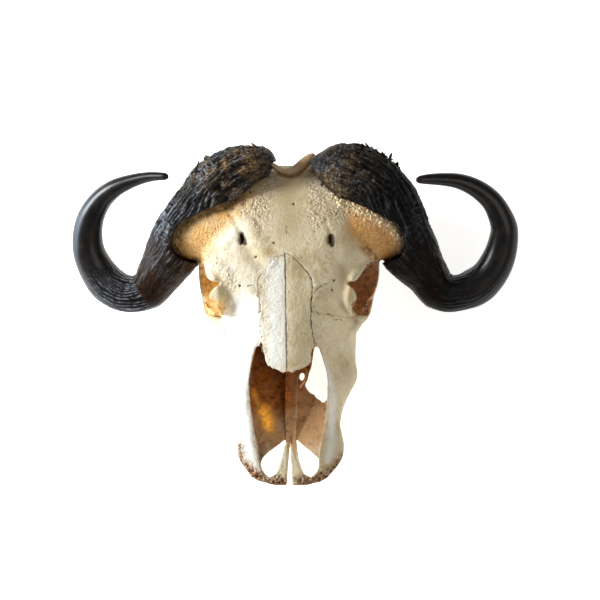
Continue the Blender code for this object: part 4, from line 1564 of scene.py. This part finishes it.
@dataclass
class Cranium(BonePiece):
    """The brain case with the brow, the bases of the horns and the back of the skull."""

    node: str = "cranium"
    voxel_mm: float = 2.1
    closes_on: tuple[str, ...] = ("maxilla_left", "maxilla_right")
    open_to: tuple[str, ...] = ("nasal_left", "nasal_right")
    kept_share: float = 0.62
    fine: tuple[Point, ...] = (
        (170, 264), (166, 240), (176, 222), (204, 206), (236, 196), (262, 176), (268, 160), (318, 148),
        (330, 184), (360, 203), (396, 217), (414, 240), (414, 262), (398, 272), (388, 272), (386, 300),
        (372, 322), (350, 345), (222, 345), (204, 322), (196, 300), (194, 272))

    def carve(self, clay: Clay) -> None:
        """Sinks the small holes and lifts the spongy rim at the picture's right."""
        super().carve(clay)
        skin = Surface(clay)
        near, _ = Grain(15).cells(clay.mm, 3.4)
        clay.push(skin.cream * (ease(near, 0.6, 0.2) * 1.6 - 0.3) - skin.holes * 2.2)


@dataclass
class Vomer(BonePiece):
    """The strip of bone in the middle of the nose.

    Attributes:
        longer_mm: How far its front end is drawn out.
        wider: How many times wider it is at the front.
    """

    node: str = "vomer"
    voxel_mm: float = 1.0
    smooth_steps: int = 2
    wear: Wear = Wear.INNER
    longer_mm: float = 18.0
    wider: float = 1.4

    def carve(self, clay: Clay) -> None:
        """Draws the strip out to the muzzle and spreads it."""
        across, along, _ = clay.face.T
        middle = (across.min() + across.max()) / 2.0
        ahead = np.array([0.0, *FACE.slope()])
        low = along.min()
        wide = (across - middle) * (self.wider - 1.0) * ease(along, low, low + 40.0)
        clay.move(-ease(along, low + 70.0, low)[:, None] * self.longer_mm * ahead
                  + wide[:, None] * np.array([1.0, 0.0, 0.0]))


@dataclass(frozen=True)
class Spine:
    """The rings that a horn sheath is drawn with, one row of each list for a ring.

    Attributes:
        middle: Where the ring's middle is, in millimetres.
        across: The direction of its width.
        tangent: The direction that the sheath runs in.
        front: The direction of its depth.
        wide: Half its width, in millimetres.
        deep: Half its depth, in millimetres.
        share: Its place as a share of the sheath's length.
        length_mm: The length from the first ring to the last.
    """

    middle: Array
    across: Array
    tangent: Array
    front: Array
    wide: Array
    deep: Array
    share: Array
    length_mm: float


@dataclass
class HornSheath:
    """One horn sheath from the crown over the boss and round the hook.

    Attributes:
        node: The solid that it stands for.
        side: 1 for the skull's left and -1 for its right.
        line: Readings across and along the face plane, height, half width and depth.
        rings: How many rings the sheath is drawn with.
        sides: How many points each ring has.
        voxel_mm: The width of its mesh's faces.
        keel_height: How far the keel under the hook's bend stands out, as a share.
        keel_place: Where the keel is, as a share of the sheath's length.
        keel_angle: Where the keel is round the sheath, in radians.
        tip_round_mm: Over what length the tip is rounded off.
        seat_gap_mm: How far it stays off the bone that it sits on.
        seat_slack_mm: What smoothing takes off that way.
        slack_mm: How evenly points are given to the nearest ring.
        window: Readings across and along the face plane of where the bone shows.
        peeling: Lines of the picture along which the horn peels.
        furrow: A line of the picture along which the boss is grooved.
        window_from_mm: How far out from the face plane the window begins.
        window_to_mm: How far out from the face plane the window ends.
    """

    node: str
    side: int
    line: tuple[tuple[float, ...], ...]
    rings: int = 220
    sides: int = 72
    voxel_mm: float = 1.33
    seat_gap_mm: float = 0.45
    seat_slack_mm: float = 0.5
    keel_height: float = 0.13
    keel_place: float = 0.46
    keel_angle: float = 1.1
    tip_round_mm: float = 7.0
    slack_mm: float = 6.0
    window: tuple[Point, ...] = (
        (27, 446), (38, 426), (52, 411), (70, 393), (92, 388), (121, 375), (152, 359), (164, 342),
        (167, 329), (163, 317), (152, 308), (126, 302), (60, 296), (0, 300), (-2, 446))
    peeling: tuple[tuple[Point, ...], ...] = ()
    furrow: tuple[Point, ...] = ()
    window_from_mm: float = 100.0
    window_to_mm: float = 260.0

    @cached_property
    def spine(self) -> Spine:
        """Finds the middle, the directions and the sizes of the sheath at every ring."""
        rows = np.array([(*FACE.place(x, v, z), wide, deep) for x, v, z, wide, deep in self.line])
        rows, length_mm = spline(rows, self.rings)
        tangent = np.gradient(rows[:, :3], axis=0)
        tangent /= np.linalg.norm(tangent, axis=1)[:, None]
        across = np.cross(np.array(FACE.outward()), tangent)
        across /= np.linalg.norm(across, axis=1)[:, None]
        front = np.cross(tangent, across)
        turn = np.array([self.side, 1.0, 1.0])
        offset = np.array([MIDDLE[0] * (1 - self.side), 0.0, 0.0])
        return Spine(rows[:, :3] * turn + offset, across * turn, tangent * turn, front * turn,
                     rows[:, 3], rows[:, 4], np.linspace(0.0, 1.0, self.rings), length_mm)

    def loft(self) -> Object:
        """Draws the sheath's closed outer form."""
        here = self.spine
        angles = np.linspace(0.0, 2.0 * math.pi, self.sides, endpoint=False)
        left_mm = (1.0 - here.share) * here.length_mm
        rounding = np.sqrt(1.0 - np.clip(1.0 - left_mm / self.tip_round_mm, 0.0, 0.97) ** 2)
        keel = self.keel_height * np.exp(-((here.share - self.keel_place) / 0.06) ** 2)
        swell = 1.0 + keel[:, None] * np.exp(-((angles - self.keel_angle) / 0.4) ** 2)
        swell = swell * rounding[:, None]
        wide = (here.wide[:, None] * np.cos(angles) * swell)[..., None]
        deep = (here.deep[:, None] * np.sin(angles) * swell)[..., None]
        points = here.middle[:, None] + wide * here.across[:, None] + deep * here.front[:, None]
        work = bmesh.new()
        rings = [[work.verts.new(point * MM) for point in ring] for ring in points]
        for low, high in zip(rings[:-1], rings[1:]):
            Bench.band(work, low, high)
        for ring in (rings[0], rings[-1]):
            centre = work.verts.new(sum((v.co for v in ring), Vector()) / len(ring))
            for k in range(self.sides):
                work.faces.new((ring[k], ring[(k + 1) % self.sides], centre))
        bmesh.ops.recalc_face_normals(work, faces=work.faces)
        return Bench.new(f"{self.node}_sheath", Bench.mesh(work, self.node))

    def window_tool(self) -> Object:
        """Makes the block that opens the sheath over the bone in front."""
        return Bench.block(*([FACE.place_off(self.side * across, along, out)
                              for across, along in self.window]
                             for out in (self.window_from_mm, self.window_to_mm)))

    def build(self, bed: Object) -> Object:
        """Draws, opens, seats and dresses the sheath.

        Args:
            bed: The finished bone that it sits on.

        Returns:
            The sheath.
        """
        obj = self.loft()
        Bench.cut(obj, self.window_tool())
        swollen = Bench.new("bed", bed.data.copy())
        Bench.modify(swollen, "DISPLACE", mid_level=0.0,
                     strength=(self.seat_gap_mm + self.seat_slack_mm) * MM)
        Bench.cut(obj, swollen)
        Bench.remesh(obj, self.voxel_mm, 3)
        Bench.keep_largest(obj)
        self.carve(Clay(obj))
        obj.data.shade_smooth()
        obj.data.materials.clear()
        obj.data.materials.append(HORN)
        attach(obj, "root")
        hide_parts(self.node)
        return obj

    def locate(self, clay: Clay) -> tuple[Array, Array, Array]:
        """Finds where each point lies on the sheath.

        Args:
            clay: The sheath's mesh.

        Returns:
            The share of the length, the straightened place in millimetres, and how far out
            the point is, with 1 on the drawn form.
        """
        here = self.spine
        nearest = np.empty(len(clay.mm), int)
        for start in range(0, len(clay.mm), LOCATE_STEP):
            part = clay.mm[start:start + LOCATE_STEP]
            away = ((part[:, None] - here.middle[None]) ** 2).sum(axis=2)
            away /= (here.wide * here.deep)[None] + self.slack_mm ** 2
            nearest[start:start + LOCATE_STEP] = away.argmin(axis=1)
        offset = clay.mm - here.middle[nearest]
        ahead, wide, deep = (np.einsum("ij,ij->i", offset, axis[nearest])
                             for axis in (here.tangent, here.across, here.front))
        out = np.hypot(wide / here.wide[nearest], deep / here.deep[nearest])
        share = here.share[nearest] + ahead / here.length_mm
        return share, np.stack([share * here.length_mm, wide, deep], axis=1), out

    def carve(self, clay: Clay) -> None:
        """Raises the ridges, crust and clefts of the horn, and paints them."""
        share, flow, out = self.locate(clay)
        outer = 0.3 + 0.7 * ease(out, 0.82, 0.97)
        turn = self.keel_place + 0.006
        front = ease(share, 0.27, 0.36) * ease(share, turn + 0.004, turn - 0.004)
        hook = ease(share, turn - 0.004, turn + 0.004)
        base = hook * ease(share, 0.66, 0.48)
        rough = ease(share, 0.47, 0.33) * (1.0 - 0.6 * front)
        lumps = Grain(31).layered(clay.mm, 24.0, 3)
        bend = Grain(38).layered(flow, (45.0, 16.0, 16.0), 2)
        ropes = np.sin(2.0 * math.pi * (flow[:, 1] / 12.0 + 1.5 * bend))
        strands = np.sin(2.0 * math.pi * (flow[:, 1] / 4.6 + 2.3 * bend))
        rings = np.sin(2.0 * math.pi * (flow[:, 1] / 3.9 + 1.4 * bend)
                       + 2.0 * Grain(39).layered(flow, (30.0, 5.0, 5.0), 2))
        ridges = 1.0 - 2.6 * np.abs(Grain(36).layered(flow, (40.0, 6.5, 6.5), 3))
        cross = 1.0 - 2.6 * np.abs(Grain(34).layered(flow, (3.6, 26.0, 26.0), 2))
        crumbs = Grain(35).layered(clay.mm, 3.4, 2)
        crossed = rough * ease(Grain(37).smooth(clay.mm, 30.0), -0.1, 0.4)
        step = np.exp(-((share - turn + 0.008) / 0.008) ** 2) * 1.1
        end = ease(share, 0.12, 0.05)
        grain = np.maximum(ropes, -0.7) * 1.2 + np.maximum(ridges, -1.2) * 1.4
        deep = rough * (lumps * 2.0 + (grain + strands * 0.6 * (1.0 - crossed)) * (1.0 - end)
                        + crumbs * (0.7 + 0.9 * end) - 1.5)
        furrow = clay.near(self.furrow, 4.0) if self.furrow else np.zeros(len(share))
        knobs = np.abs(Grain(41).layered(clay.mm, 9.0, 3)) * ease(share, 0.24, 0.10) * rough
        clay.push(outer * (deep + crossed * cross * 0.9 + knobs * 3.2
                           - furrow * 3.0 + base * (rings * 0.4 - 0.15)
                           + front * (lumps * 0.5 + ridges * 0.3) + step))
        inner = ease(share, 0.27, 0.10) * ease(Grain(40).layered(clay.mm, 26.0, 2), -0.5, 0.4)
        tops = ease(ridges * 0.6 + strands * 0.35 + ropes * 0.25, 0.45, 1.0)
        above = np.min([line_distance(clay.seen, line) for line in self.peeling], axis=0)
        edge = ease(clay.facing, 0.75, 0.4) * ease(clay.facing, -0.4, -0.1)
        # How strong the painted highlight is, stronger on the picture's left where the light falls.
        highlight = 0.10 + 0.32 * ease(clay.seen[:, 0], 300.0, 230.0)
        lip = ease(clay.seen[:, 1], 158.0, 172.0) * ease(clay.facing, 0.0, 0.3)
        dimmed, coated = (0.0, 0.2) if self.side < 0 else (0.9, 0.06)
        masks = {
            "front": front,
            "peeling": (ease(above, 9.0, 3.0) * edge + 0.006) * rough * ease(out, 0.5, 0.8),
            "rough": np.maximum(rough, base * 0.3),
            # Worn ridge tops and the hook's rings, with a painted highlight that is stronger on the
            # picture's left.
            "worn": (rough * np.maximum(tops, crossed * ease(cross, 0.3, 0.9)) * highlight
                     + base * ease(rings, 0.1, 0.9) * (1.1 * highlight - 0.08)
                     + ease(share, 0.2, 0.1) * ease(crumbs, 0.25, 0.7) * 0.3),
            "crust": (rough * inner * ease(lumps + crumbs * 0.3 + ridges * 0.3, -0.2, 0.7)
                      * (1.0 if self.side < 0 else 0.6 * ease(share, 0.2, 0.08))),
            "dim": (rough + front + base) * dimmed * ease(share, 0.08, 0.2),
            "coat": ease(share, turn, turn + 0.1) * 0.42 + rough * coated,
            # Painted shade in the clefts between the ridges and in the furrow.
            "cleft": np.maximum(rough * ease(ridges + ropes * 0.5, -0.1, -0.9), furrow) * 0.9,
            "rust": (ease(out, 0.96, 0.84) * ease(share, 0.04, 0.12) * lip
                     * ease(share, 0.46, 0.42) * ease(crumbs, -0.6, 0.3) * 0.8)}
        clay.mark("flow", flow * MM)
        for name, values in masks.items():
            clay.paint(name, values)


class Tree(Network):
    """A Geometry Nodes tree.

    Attributes:
        entry: Its node with what goes in.
        sizes: The value of each input, under Blender's own mark for its socket.
    """

    def __init__(self, name: str) -> None:
        """Starts a tree with one shape going in and one coming out."""
        self.tree = bpy.data.node_groups.new(name, "GeometryNodeTree")
        for way in ("INPUT", "OUTPUT"):
            self.tree.interface.new_socket(name="Geometry", in_out=way,
                                           socket_type="NodeSocketGeometry")
        self.entry = self.tree.nodes.new("NodeGroupInput")
        self.sizes: dict[str, Any] = {}

    def size(self, name: str, value: Any, kind: str = "NodeSocketFloat") -> Socket:
        """Adds a named input with its value.

        Args:
            name: The input's name.
            value: What the modifier sets it to.
            kind: Blender's name for the type of socket.

        Returns:
            The socket inside the tree.
        """
        made = self.tree.interface.new_socket(name=name, in_out="INPUT", socket_type=kind)
        self.sizes[made.identifier] = value
        return self.entry.outputs[name]

    def node(self, kind: str, settings: dict[str, Any], values: dict[int | str, Any],
             output: int | str = 0) -> Socket:
        """Adds a node and gives one of its outputs."""
        return self.add(kind, settings, values).outputs[output]

    def attribute(self, name: str) -> Socket:
        """Reads a number that was painted on the shape."""
        return self.node("GeometryNodeInputNamedAttribute", {"data_type": "FLOAT"}, {0: name})

    def grow(self, obj: Object, shape: Socket,
             material: Material) -> Object:
        """Closes the tree and turns what it makes on an object into a plain mesh.

        Args:
            obj: The object that the tree works on.
            shape: The shape that the tree ends with.
            material: What the shape is made of.

        Returns:
            The object with its new mesh.
        """
        real = self.node("GeometryNodeRealizeInstances", {}, {0: shape})
        dressed = self.node("GeometryNodeSetMaterial", {}, {0: real, "Material": material})
        leave = self.tree.nodes.new("NodeGroupOutput")
        self.tree.links.new(dressed, leave.inputs[0])
        made = obj.modifiers.new(self.tree.name, "NODES")
        made.node_group = self.tree
        for identifier, value in self.sizes.items():
            made[identifier] = value
        Bench.settle(obj)
        obj.data.shade_smooth()
        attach(obj, "root")
        return obj


@dataclass
class Scatter:
    """Small shapes that are strewn over a piece where it is painted for them.

    Attributes:
        name: The name of the new piece.
        mask: The name of the paint.
        per_square_mm: How many there are where the paint is full.
        gap_mm: The least way from one to the next.
        smallest: The scale of the smallest.
        largest: The scale of the largest.
        slot: A name for the material, which is not used.
        seed: The number that the strewing starts from.
        twist: How far each may be turned about its own axes, in radians.
    """

    name: str
    mask: str
    per_square_mm: float
    gap_mm: float
    smallest: float
    largest: float
    slot: str
    seed: int
    twist: tuple[float, float, float] = (0.35, 0.35, 3.1)

    def build(self, bed: Object, grain: Mesh,
              material: Material) -> Object:
        """Strews the shapes.

        Args:
            bed: The piece that they sit on.
            grain: One shape.
            material: What they are made of.

        Returns:
            The shapes as one piece.
        """
        pattern = Bench.new(f"{self.name}_pattern", grain)
        tree = Tree(self.name)
        density = tree.size("Density", self.per_square_mm / MM ** 2)
        gap = tree.size("Gap", self.gap_mm * MM)
        seed = tree.size("Seed", self.seed, "NodeSocketInt")
        small = tree.size("Smallest", self.smallest)
        large = tree.size("Largest", self.largest)
        shape = tree.size("Shape", pattern, "NodeSocketObject")
        places = tree.node("GeometryNodeDistributePointsOnFaces",
                           {"distribute_method": "POISSON"},
                           {"Mesh": tree.entry.outputs[0], "Distance Min": gap,
                            "Density Max": density, "Density Factor": tree.attribute(self.mask),
                            "Seed": seed}, "Points")
        scale = tree.node("FunctionNodeRandomValue", {"data_type": "FLOAT"},
                          {2: small, 3: large, "Seed": seed}, 1)
        twist = tree.node("FunctionNodeRandomValue", {"data_type": "FLOAT_VECTOR"},
                          {0: tuple(-turn for turn in self.twist), 1: self.twist, "Seed": seed})
        turned = tree.node("FunctionNodeRotateRotation", {"rotation_space": "LOCAL"},
                           {0: places.node.outputs["Rotation"], 1: twist})
        one = tree.node("GeometryNodeObjectInfo", {}, {0: shape}, "Geometry")
        strewn = tree.node("GeometryNodeInstanceOnPoints", {},
                           {"Points": places, "Instance": one, "Rotation": turned,
                            "Scale": scale})
        obj = tree.grow(Bench.new(self.name, bed.data.copy()), strewn, material)
        bpy.data.objects.remove(pattern)
        return obj


@dataclass(frozen=True)
class Nodule:
    """One bead of spongy bone.

    Attributes:
        size_mm: The width of the ball that it is made from.
        stretch: How many times longer and higher it is.
        lift_mm: How far its middle stands off the bone.
    """

    size_mm: float = 2.4
    stretch: tuple[float, float] = (1.35, 1.1)
    lift_mm: float = 0.25

    def mesh(self) -> Mesh:
        """Makes the bead."""
        longer, higher = self.stretch
        work = bmesh.new()
        bmesh.ops.create_uvsphere(work, u_segments=8, v_segments=6, radius=self.size_mm * MM / 2.0)
        for vert in work.verts:
            x, y, z = vert.co
            vert.co = Vector((x * longer, y, z * higher + self.lift_mm * MM))
        return Bench.mesh(work, "nodule")


@dataclass(frozen=True)
class Flake:
    """One flake of horn that curls off the boss, with its root sunk in.

    Attributes:
        length_mm: Its length.
        width_mm: Its width at the root.
        thickness_mm: Its thickness at the root.
        curl: How high its tip stands, as a share of its length.
        sunk_mm: How deep its root lies.
        back_mm: How far behind its own place the root begins.
        steps: How many pieces its length has.
    """

    length_mm: float = 12.0
    width_mm: float = 8.0
    thickness_mm: float = 0.8
    curl: float = 0.42
    sunk_mm: float = 0.9
    back_mm: float = 2.0
    steps: int = 5

    def row(self, k: int, top: float) -> list[Vector]:
        """Finds the three corners of one cut across the flake.

        Args:
            k: The cut's number, from the root.
            top: 0 for the underside and 1 for the upper side.

        Returns:
            The corners from left to right, in millimetres.
        """
        along = k / self.steps
        rise = (along ** 2 * self.curl * self.length_mm - self.sunk_mm
                + top * self.thickness_mm * (1.0 - 0.7 * along))
        half = self.width_mm / 2.0 * (1.0 - along ** 2 * 0.8) * (1.0 + 0.2 * math.sin(k * 2.1))
        return [Vector((x * half, along * self.length_mm - self.back_mm, rise - abs(x) * 0.5))
                for x in (-1.0, 0.0, 1.0)]

    def mesh(self) -> Mesh:
        """Makes the flake."""
        work = bmesh.new()
        sheets = [[[work.verts.new(corner * MM) for corner in self.row(k, top)]
                   for k in range(self.steps + 1)] for top in (0.0, 1.0)]
        low, high = sheets
        for k in range(self.steps):
            for x in range(2):
                for rows in sheets:
                    work.faces.new((rows[k][x], rows[k][x + 1], rows[k + 1][x + 1],
                                    rows[k + 1][x]))
            for x in (0, 2):
                work.faces.new((low[k][x], low[k + 1][x], high[k + 1][x], high[k][x]))
        for k in (0, self.steps):
            for x in range(2):
                work.faces.new((low[k][x], low[k][x + 1], high[k][x + 1], high[k][x]))
        bmesh.ops.recalc_face_normals(work, faces=work.faces)
        return Bench.mesh(work, "flake")


@dataclass
class BoneRod:
    """A thin rod of bone along a line of the picture.

    Attributes:
        name: The rod's name.
        line: Points of the picture, each with its distance out from the face plane and the
            rod's radius, both in millimetres.
        paints: The paints on it, each with its strength at both ends.
        sides: How many sides it has.
        steps: How many pieces its length has.
    """

    name: str
    line: tuple[tuple[float, float, float, float], ...]
    paints: dict[str, tuple[float, float]]
    sides: int = 20
    steps: int = 60

    def build(self) -> Object:
        """Draws the rod."""
        rows = np.array([(*VIEW.place_seen((x, y), out), radius) for x, y, out, radius in self.line])
        rows, _ = spline(rows, self.steps)
        mesh = bpy.data.meshes.new(self.name)
        mesh.from_pydata([tuple(row[:3] * MM) for row in rows],
                         [(k, k + 1) for k in range(self.steps - 1)], [])
        thick = mesh.attributes.new("thick", "FLOAT", "POINT")
        ends = np.sqrt(1.0 - np.abs(np.linspace(-1.0, 1.0, self.steps)) ** 24 * 0.9)
        thick.data.foreach_set("value", (rows[:, 3] * ends * MM).astype(np.float32))
        tree = Tree(self.name)
        sides = tree.size("Sides", self.sides, "NodeSocketInt")
        path = tree.node("GeometryNodeMeshToCurve", {}, {0: tree.entry.outputs[0]})
        ring = tree.node("GeometryNodeCurvePrimitiveCircle", {}, {"Resolution": sides,
                                                                  "Radius": 1.0})
        tube = tree.node("GeometryNodeCurveToMesh", {},
                         {"Curve": path, "Profile Curve": ring,
                          "Scale": tree.attribute("thick"), "Fill Caps": True})
        obj = tree.grow(Bench.new(self.name, mesh), tube, BONES[Wear.WEATHERED])
        clay = Clay(obj)
        start = VIEW.seen(rows[:1, :3])[0]
        length = np.linalg.norm(VIEW.seen(rows[-1:, :3])[0] - start)
        share = np.linalg.norm(clay.seen - start, axis=1) / length
        clay.push(Grain(51).layered(clay.mm, 5.0, 2) * 0.35)
        for paint, (first, last) in self.paints.items():
            clay.paint(paint, first + (last - first) * np.clip(share, 0.0, 1.0))
        return obj


NUCHAL_RIDGE = (
    (271, 163.5, 98.0, 2.8), (275.5, 166.5, 99.0, 3.4), (283.5, 171, 98.0, 4.6), (291, 171.5, 97.0, 6.0),
    (298.7, 167.5, 96.0, 7.4), (304, 163.5, 96.0, 8.0), (309.5, 159, 96.0, 7.4), (316, 157, 95.0, 6.5))
NOSE_LOOP = (
    (300.5, 367, 150.0, 1.8), (305.5, 368.5, 150.0, 1.9), (307.4, 373, 148.0, 1.9),
    (306.4, 379, 145.0, 1.9), (303.8, 383.5, 141.0, 2.0), (300.5, 388, 136.0, 2.2))
HORN_LINE_RIGHT = (
    (23, 444, 163, 8, 9), (30, 444, 166, 21, 21), (46, 438, 169, 33, 34), (74, 427, 170, 42, 44),
    (99, 410, 165, 44, 48), (124, 381, 155, 42, 47), (150, 347, 142, 43, 46), (172, 313, 124, 38, 40),
    (190, 286, 108, 32, 34), (205, 267, 98, 28, 30), (222, 260, 95, 26.5, 27), (244, 261, 94, 27, 28),
    (264, 273, 97, 27.5, 28), (280, 294, 106, 25.5, 26), (290, 320, 122, 23, 24), (290, 348, 140, 21, 21),
    (284, 369, 153, 19, 19), (269, 392, 168, 16, 17), (250, 407, 183, 13.5, 14), (217, 420, 200, 9.5, 10),
    (190, 425, 213, 7, 7), (163, 425, 225, 5, 5))
HORN_LINE_LEFT = (
    (30, 436, 163, 7, 8), (36, 437, 166, 17, 18), (49, 435, 169, 30, 32), (75, 430, 170, 43, 45),
    (107, 416, 165, 46, 50), (133, 387, 155, 47, 49), (153.5, 345, 142, 46, 45),
    (173.5, 311, 124, 39.5, 38), (192, 286, 108, 31, 33), (206, 267, 98, 28, 30),
    (220, 260, 95, 26.5, 27), (237, 261, 94, 25.5, 26), (261, 270, 96, 27, 28), (277, 284, 103, 25, 26),
    (290, 305, 114, 23.5, 24), (298, 330, 129, 21, 21), (300, 351, 142, 19, 20),
    (294, 370, 155, 17, 17.5), (283, 389, 168, 15, 15), (266, 404, 180, 13.5, 14),
    (240, 416, 195, 11, 11.5), (217, 419, 208, 9, 9), (194, 419, 219, 7, 7), (180, 418, 226, 4.6, 4.6))


@dataclass(frozen=True)
class Lamp:
    """A square soft light that looks at the skull.

    Attributes:
        name: The light's name.
        place: Where it hangs.
        size: The width of its panel.
        power: Its strength in watts.
        colour: Its colour.
        aim: The place that it looks at.
    """

    name: str
    place: tuple[float, float, float]
    size: float
    power: float
    colour: tuple[float, float, float]
    aim: tuple[float, float, float] = (0.0, 0.0, 0.1)

    def build(self) -> None:
        """Hangs the light."""
        data = bpy.data.lights.new(self.name, "AREA")
        data.size = self.size
        data.energy = self.power
        data.color = self.colour
        lamp = bpy.data.objects.new(self.name, data)
        bpy.context.scene.collection.objects.link(lamp)
        lamp.location = self.place
        lamp.rotation_euler = (Vector(self.place) - Vector(self.aim)).to_track_quat(
            "Z", "Y").to_euler()


@dataclass(frozen=True)
class Studio:
    """The pale floor and the soft lights.

    Attributes:
        floor_size: The width of the floor.
        lamps: The lights: a bright one and a low, cool one at the picture's left, and a warm
            one at its right.
        sky: The strength of the light from all round.
    """

    floor_size: float = 14.0
    lamps: tuple[Lamp, ...] = (
        Lamp("key_light", (-1.6, 0.3, 0.9), 0.65, 50.0, (0.97, 0.985, 1.0)),
        Lamp("edge_light", (-1.5, 0.1, 0.2), 0.9, 28.0, (0.55, 0.77, 1.0)),
        Lamp("fill_light", (1.3, -0.6, 1.7), 1.4, 11.5, (1.0, 0.965, 0.89)))
    sky: float = 0.2

    def floor(self) -> None:
        """Lays the floor."""
        half = self.floor_size / 2.0
        mesh = bpy.data.meshes.new("floor")
        mesh.from_pydata([(-half, -half, 0.0), (half, -half, 0.0), (half, half, 0.0),
                          (-half, half, 0.0)], [], [(0, 1, 2, 3)])
        mesh.materials.append(FloorFinish().material())
        Bench.new("floor", mesh)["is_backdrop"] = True

    def build(self) -> None:
        """Sets up the floor, the lights and the sky."""
        self.floor()
        for lamp in self.lamps:
            lamp.build()
        world = bpy.data.worlds.new("sky")
        bpy.context.scene.world = world
        world.use_nodes = True
        sky = world.node_tree.nodes["Background"]
        sky.inputs["Color"].default_value = WHITE
        sky.inputs["Strength"].default_value = self.sky
        bpy.context.scene.view_settings.view_transform = "Standard"


BREAKS = {
    "nasal_right": ((262.5, 343), (263.5, 350), (265, 355), (266, 360.5), (268, 365.5),
                    (271, 366.2), (273, 368.8), (275.5, 368), (278, 372), (280, 372),
                    (283, 375), (286.2, 374), (288.5, 371.2), (290.4, 371), (290.4, 394),
                    (250, 394), (250, 343)),
    "nasal_left": ((288, 371.2), (290.2, 370.4), (292.5, 373.4), (295, 372.2), (296.8, 375.2),
                   (298.5, 373.8), (300.6, 371), (302.8, 370.8), (305, 368.6), (308, 369.4),
                   (310.2, 367.8), (310, 363), (311.4, 360), (310.8, 354), (312, 348),
                   (330, 348), (330, 394), (288, 394)),
    "palate": ((306, 381), (305.2, 386), (307, 389.5), (311.2, 394), (314, 394.3), (316.6, 399),
               (320.2, 400.6), (322, 402.8), (325, 402.3), (327, 399.2), (329.5, 396.5),
               (330.5, 388), (324, 378), (312, 378)),
    "small_hole": ((299.8, 374), (302, 372.5), (304.4, 374), (304.6, 377.5), (303, 380.5),
                   (300.8, 381), (299.4, 378))}
BONES: dict[Wear, Material] = {}
HORN = HornFinish("horn_sheath").material()
FURROW = ((171, 240), (172, 226), (180, 214), (193, 203), (205, 195), (219, 187))
HORNS = (
    HornSheath("horn_right", -1, HORN_LINE_RIGHT, furrow=FURROW,
               peeling=(((255, 147), (266, 148), (274, 157)), ((190, 166), (206, 157)))),
    HornSheath("horn_left", 1, HORN_LINE_LEFT,
               peeling=(((360, 147), (375, 152)), ((382, 157), (400, 165)))))


def report(obj: Object) -> None:
    """Keeps a finished piece inside the box of the solids and logs how large it is."""
    mesh = obj.data
    places = np.empty(len(mesh.vertices) * 3, np.float32)
    mesh.vertices.foreach_get("co", places)
    low, high = (np.array(corner) for corner in BOX)
    margin = BOX_MARGIN_MM * MM
    kept = np.clip(places.reshape(-1, 3), low + margin, high - margin)
    mesh.vertices.foreach_set("co", kept.astype(np.float32).ravel())
    mesh.update()
    LOG.info("%s: %d faces", obj.name, len(mesh.polygons))


def face_bones(side: str, other: str) -> list[BonePiece]:
    """Lists the paired bones of one side of the face.

    Args:
        side: The side.
        other: The side across the midline.

    Returns:
        The bones.
    """
    maxilla, premaxilla, nasal = f"maxilla_{side}", f"premaxilla_{side}", f"nasal_{side}"
    grown = (nasal,) if side == "right" else ()
    holes = (BREAKS["palate"], BREAKS["small_hole"]) if side == "left" else ()
    return [
        BonePiece(maxilla, 1.2, closes_on=("cranium", premaxilla, *grown), open_to=(nasal,),
                  broken=holes, broken_from_mm=10.0, broken_to_mm=122.0),
        BonePiece(nasal, 0.9, 2, closes_on=("cranium", maxilla) if grown else (),
                  open_to=("cranium", maxilla), split_from=f"nasal_{other}",
                  broken=(BREAKS[nasal],)),
        BonePiece(premaxilla, 1.0, 2, closes_on=(maxilla,))]


def main() -> None:
    """Builds the skull and its studio."""
    logging.basicConfig(level=logging.INFO, format="%(message)s")
    VIEW.camera()
    Studio().build()
    for wear in Wear:
        BONES[wear] = BoneFinish(f"bone_{wear.name.lower()}").material()
    cranium = Cranium().build()
    report(cranium)
    for bone in (*face_bones("left", "right"), *face_bones("right", "left"), Vomer()):
        report(bone.build())
    report(BoneRod("nuchal_ridge", NUCHAL_RIDGE, {"brown": (0.0, 0.5), "tan": (0.0, 0.8)}).build())
    # The loop inside the nose takes the brown and the painted shade of the nose's inside.
    report(BoneRod("nose_loop", NOSE_LOOP, {"stain_and_shade": (1.0, 0.9), "pit": (0.2, 0.5)}).build())
    rim = Scatter("spongy_rim", "cream", per_square_mm=0.2, gap_mm=1.8, smallest=0.7,
                  largest=1.9, slot="bone", seed=5)
    report(rim.build(cranium, Nodule().mesh(), BONES[Wear.WEATHERED]))
    for sheath in HORNS:
        horn = sheath.build(cranium)
        report(horn)
        flakes = Scatter(sheath.node.replace("horn", "flakes"), "peeling", per_square_mm=0.018,
                         gap_mm=5.0, smallest=0.45, largest=1.2, slot="horn",
                         seed=3 + sheath.side)
        report(flakes.build(horn, Flake().mesh(), HORN))


if __name__ == "__main__":
    main()
